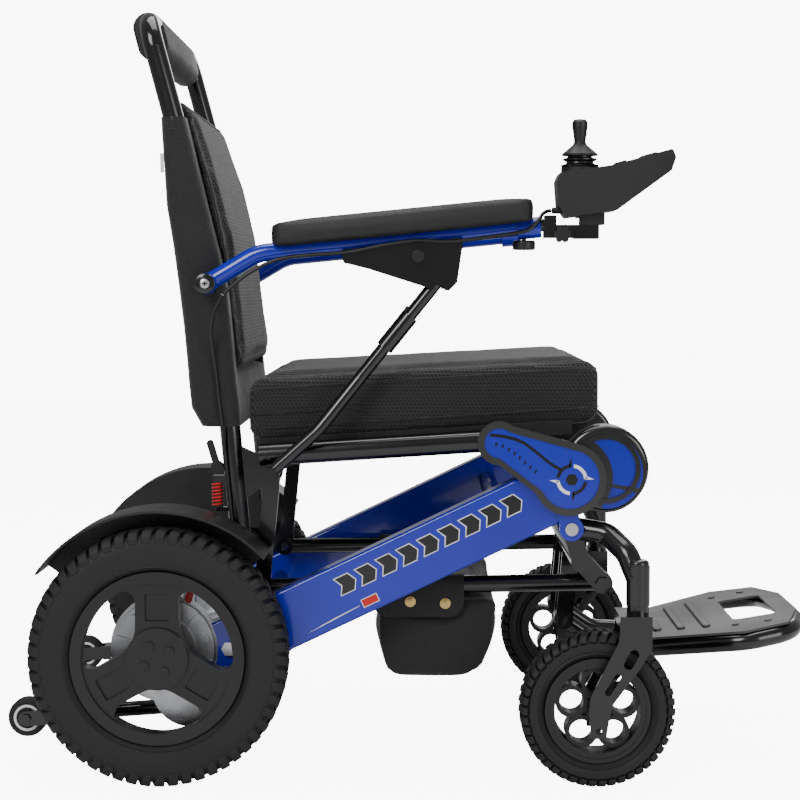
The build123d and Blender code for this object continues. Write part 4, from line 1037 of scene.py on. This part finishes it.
class WHEELCHAIR_OT_badges(bpy.types.Operator):
    """Make the plain badges on the drive covers, batteries and beams"""
    bl_idname = "wheelchair.badges"
    bl_label = "Badges"

    def execute(self, context):
        for side, sign in SIDES:
            self.cover_badge(side, sign)
            self.battery_panels(side, sign)
            self.beam_graphic(side, sign)
            self.pivot_caps(side, sign)
        return {"FINISHED"}

    def decal(self, name, outline, y, sign, slot, body, thick=0.00035):
        """A thin flat piece on a face that looks along Y."""
        piece = slab(name, outline, min(y, y + sign * thick), max(y, y + sign * thick))
        return settle(piece, slot, body)

    def cover_badge(self, side, sign):
        """Broken ring with pointed ends, a plain hexagon inside it, a sweep and a row of dashes."""
        face = sign * face_depth("drive_covers", 0.176, 0.374, sign)
        cx, cz = 0.191, 0.374
        parts = (("upper_front", 4, "label_white"), ("lower_rear", 184, "label_white"),
                 ("upper_rear", 94, "label_black"), ("lower_front", 274, "label_black"))
        for label, start, slot in parts:
            angles = [math.radians(start + 78 * i / 12) for i in range(13)]
            arc = [(cx + 0.0192 * math.cos(a), cz + 0.0192 * math.sin(a)) for a in angles]
            arc += [(cx + 0.0150 * math.cos(a), cz + 0.0150 * math.sin(a)) for a in reversed(angles)]
            self.decal(f"cover_arc_{label}_{side}", arc, face, sign, slot, "chassis")
            c, t = math.cos(angles[0]), math.sin(angles[0])
            tick = [(0.0150, 0), (0.0192, 0.0028), (0.0275, -0.0012), (0.0192, -0.0012)]
            tick = [(cx + r * c - w * t, cz + r * t + w * c) for r, w in tick]
            self.decal(f"cover_tick_{label}_{side}", tick, face, sign, slot, "chassis")
        hexagon = round_points((cx, cz), 0.0078, 6)
        self.decal(f"cover_hexagon_{side}", hexagon, face, sign, "label_black", "chassis")
        route = [(0.0905, 0.4290), (0.1065, 0.4275), (0.1215, 0.4240), (0.1325, 0.4190), (0.1419, 0.4122),
                 (0.1515, 0.4045), (0.1607, 0.3970), (0.1690, 0.3910), (0.1770, 0.3866)]
        upper = [(x + 0.0006, z + 0.0019) for x, z in route]
        lower = [(x - 0.0006, z - 0.0019) for x, z in route]
        self.decal(f"cover_sweep_{side}", upper + lower[::-1], face, sign, "label_black", "chassis")
        dashes = [(0.0975, 0.4175), (0.1055, 0.4150), (0.1130, 0.4112), (0.1200, 0.4062), (0.1265, 0.4007),
                  (0.1330, 0.3950), (0.1395, 0.3893), (0.1460, 0.3840)]
        for i, (x, z) in enumerate(dashes):
            bar = [(x - 0.0012, z - 0.0026), (x + 0.0012, z - 0.0020), (x + 0.0022, z + 0.0026),
                   (x - 0.0002, z + 0.0020)]
            self.decal(f"cover_dash_{i}_{side}", bar, face, sign, "label_black", "chassis")

    def battery_panels(self, side, sign):
        """Two blue crescent panels and a raised gloss rim on the battery's head."""
        cx, cz, outer = 0.234, 0.382, 0.0460
        ox, oz, reach = 0.190, 0.375, 0.0530
        face = sign * face_depth(f"battery_{side}", cx + 0.034, cz, sign)
        apart = math.hypot(ox - cx, oz - cz)
        towards = math.atan2(oz - cz, ox - cx)
        spread = math.acos((outer ** 2 - reach ** 2 + apart ** 2) / (2 * apart * outer))
        inner_spread = math.acos((reach ** 2 - outer ** 2 + apart ** 2) / (2 * apart * reach))
        for label, start, end in (("upper", 0.02, 0.66), ("lower", 0.70, 0.97)):
            shares = [start + (end - start) * i / 24 for i in range(25)]
            arc = []
            for t in shares:
                a = towards - spread - (2 * math.pi - 2 * spread) * t
                arc.append((cx + outer * math.cos(a), cz + outer * math.sin(a)))
            for t in reversed(shares):
                a = towards + math.pi + inner_spread * (1 - 2 * t)
                arc.append((ox + reach * math.cos(a), oz + reach * math.sin(a)))
            self.decal(f"battery_panel_{label}_{side}", arc, face, sign, "label_blue", f"battery_{side}")
        section = band(0.0475, 0.0505, -0.0004, 0.0010)
        rim = revolve(f"battery_rim_{side}", section, Vector((cx, face, cz)), 64, 30)
        settle(rim, "battery_case", f"battery_{side}")

    def beam_graphic(self, side, sign):
        """A row of white-edged black chevrons, a small red badge and a tapered line along the beam."""
        face = sign * face_depth("beams", BEAM_POINT[0] + 0.15, BEAM_POINT[1] + 0.072, sign)
        c, t = math.cos(BEAM_ANGLE), math.sin(BEAM_ANGLE)

        def along(points):
            return [(BEAM_POINT[0] + a * c - b * t, BEAM_POINT[1] + a * t + b * c) for a, b in points]

        def decal(name, points, slot, thick):
            self.decal(f"{name}_{side}", along(points), face, sign, slot, "chassis", thick)

        def chevron(a, low, high, width, tip, notch):
            middle = (low + high) / 2
            return [(a, low), (a + width, low), (a + width + tip, middle), (a + width, high), (a, high),
                    (a + notch, middle)]

        for i in range(9):
            a = 0.072 + 0.0285 * i
            decal(f"beam_chevron_edge_{i}", chevron(a - 0.0018, -0.0022, 0.0217, 0.0200, 0.0068, 0.0060),
                  "label_white", 0.0002)
            decal(f"beam_chevron_{i}", chevron(a, -0.001, 0.0205, 0.0175, 0.0060, 0.0060),
                  "label_black", 0.0004)
        for name, grow, slot, thick in (("beam_badge_edge", 0.001, "label_white", 0.0002),
                                        ("beam_badge", 0.0, "lever_red", 0.0004)):
            rear, front, low, high = 0.091 - grow, 0.111 + grow, -0.0265 - grow, -0.0175 + grow
            decal(name, [(rear, low), (front, low), (front, high), (rear, high)], slot, thick)
        line = [(0.012, -0.0262), (0.050, -0.0248), (0.086, -0.0228), (0.086, -0.0222), (0.050, -0.0232)]
        decal("beam_line", line, "label_white", 0.0003)

    def pivot_caps(self, side, sign):
        """Round black caps with cross-head screws on the armrest's hinge pin; each screw's cross is thin
        black pieces, painted shade in its recess.
        """
        x, z = -0.259, 0.6146
        y = sign * 0.2581
        cap = disc(f"hinge_cap_{side}", (x, z), 0.0125, y, sign * 0.0046, 40, 0.0016)
        settle(cap, "frame_black", "back")
        y += sign * 0.0046
        screw = disc(f"hinge_screw_{side}", (x, z), 0.0058, y, sign * 0.0014, 32, 0.0005)
        settle(screw, "fastener_steel", "back")
        y += sign * 0.0014
        # Painted shade: two thin black pieces stand in for the shade in each screw's cross recess.
        for label, wide, tall in (("flat", 0.0030, 0.0007), ("upright", 0.0007, 0.0030)):
            slot = [(x - wide, z - tall), (x + wide, z - tall), (x + wide, z + tall), (x - wide, z + tall)]
            self.decal(f"hinge_slot_{label}_{side}", slot, y, sign, "label_black", "back", 0.0001)


class WHEELCHAIR_OT_spring(bpy.types.Operator):
    """Wind the red spring of the fold lock"""
    bl_idname = "wheelchair.spring"
    bl_label = "Lock spring"

    def execute(self, context):
        turns = context.scene.wheelchair_sizes.spring_turns
        low, high, radius, steps = 0.334, 0.364, 0.0062, 12 * turns
        x0, y0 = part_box("fold_lever")[1].x - 0.0079, -0.205
        path = []
        for i in range(steps + 1):
            a = 2 * math.pi * i / 12
            rise = (high - low) * i / steps
            path.append((x0 + radius * math.cos(a), y0 + radius * math.sin(a), low + rise))
        spring = line_piece("lock_spring", [path], 0.0013)
        settle(spring, "lever_red", "back")
        return {"FINISHED"}


# ---------------------------------------------------------------- stage
class WHEELCHAIR_OT_stage(bpy.types.Operator):
    """Set the floor, the lights, the world and the camera"""
    bl_idname = "wheelchair.stage"
    bl_label = "Stage"

    def execute(self, context):
        clear_selection()
        bpy.ops.mesh.primitive_plane_add(size=14, location=(0, 0, -0.0005))
        floor = new_from_primitive("studio_floor")
        bpy.ops.object.transform_apply(location=True, rotation=True, scale=True)
        f = Finish("Studio floor", (0.88, 0.88, 0.88), 0.6)
        f.mix(noise(f.tree, f.place, 3.0), (0.85, 0.85, 0.85), 0.3)
        seen = f.tree.nodes.new("ShaderNodeLightPath").outputs["Is Camera Ray"]
        f.tree.links.new(math_node(f.tree, "MULTIPLY", seen, 8.6), f.shader.inputs["Emission Strength"])
        f.shader.inputs["Emission Color"].default_value = (1, 1, 1, 1)
        paint(floor, f.mat)
        lights = (
            ("key", (-1.5, -2.8, 2.3), 1.5, 62.0), ("fill", (2.3, -2.6, 1.2), 1.6, 30.0),
            ("top", (0.1, 0.1, 2.8), 1.8, 42.0), ("rim", (0.6, 2.6, 1.8), 1.6, 24.0),
        )
        for name, place, size, power in lights:
            data = bpy.data.lights.new(name, "AREA")
            data.size = size
            data.energy = power
            light = bpy.data.objects.new(name, data)
            light.location = place
            aim = Vector((0.0, 0.0, 0.45)) - Vector(place)
            light.rotation_euler = aim.to_track_quat("-Z", "Y").to_euler()
            context.scene.collection.objects.link(light)
        world = bpy.data.worlds.new("Studio")
        world.use_nodes = True
        tree = world.node_tree
        back = tree.nodes["Background"]
        back.inputs["Color"].default_value = (1, 1, 1, 1)
        seen = tree.nodes.new("ShaderNodeLightPath").outputs["Is Camera Ray"]
        strength = math_node(tree, "MULTIPLY_ADD", seen, 9.0)
        strength.node.inputs[2].default_value = 0.32
        tree.links.new(strength, back.inputs["Strength"])
        context.scene.world = world
        data = bpy.data.cameras.new("camera")
        data.lens = 83.87
        data.sensor_width = 36
        camera = bpy.data.objects.new("camera", data)
        camera.location = (0.0105, -2.542, 0.6156)
        aim = Vector((-0.01344, 1, -0.0629))
        camera.rotation_euler = aim.to_track_quat("-Z", "Y").to_euler()
        context.scene.collection.objects.link(camera)
        context.scene.camera = camera
        return {"FINISHED"}


class WHEELCHAIR_PT_panel(bpy.types.Panel):
    """Lists the steps that dress the wheelchair."""
    bl_idname = "WHEELCHAIR_PT_panel"
    bl_label = "Wheelchair"
    bl_space_type = "VIEW_3D"
    bl_region_type = "UI"
    bl_category = "Wheelchair"

    def draw(self, context):
        column = self.layout.column()
        for group in (context.scene.wheelchair_colours, context.scene.wheelchair_sizes):
            for key in group.bl_rna.properties.keys():
                if key not in ("rna_type", "name"):
                    column.prop(group, key)
        for operator in OPERATORS:
            column.operator(operator.bl_idname)


OPERATORS = (
    WHEELCHAIR_OT_finishes, WHEELCHAIR_OT_tyres, WHEELCHAIR_OT_seat, WHEELCHAIR_OT_back, WHEELCHAIR_OT_bag,
    WHEELCHAIR_OT_pads, WHEELCHAIR_OT_badges, WHEELCHAIR_OT_spring, WHEELCHAIR_OT_stage,
)
CLASSES = (WheelchairColours, WheelchairSizes, *OPERATORS, WHEELCHAIR_PT_panel)


def register():
    for cls in CLASSES:
        bpy.utils.register_class(cls)
    bpy.types.Scene.wheelchair_colours = PointerProperty(type=WheelchairColours)
    bpy.types.Scene.wheelchair_sizes = PointerProperty(type=WheelchairSizes)


def unregister():
    del bpy.types.Scene.wheelchair_sizes
    del bpy.types.Scene.wheelchair_colours
    for cls in reversed(CLASSES):
        bpy.utils.unregister_class(cls)


def main():
    register()
    for step in OPERATORS:
        group, name = step.bl_idname.split(".")
        getattr(getattr(bpy.ops, group), name)()


if __name__ == "__main__":
    main()
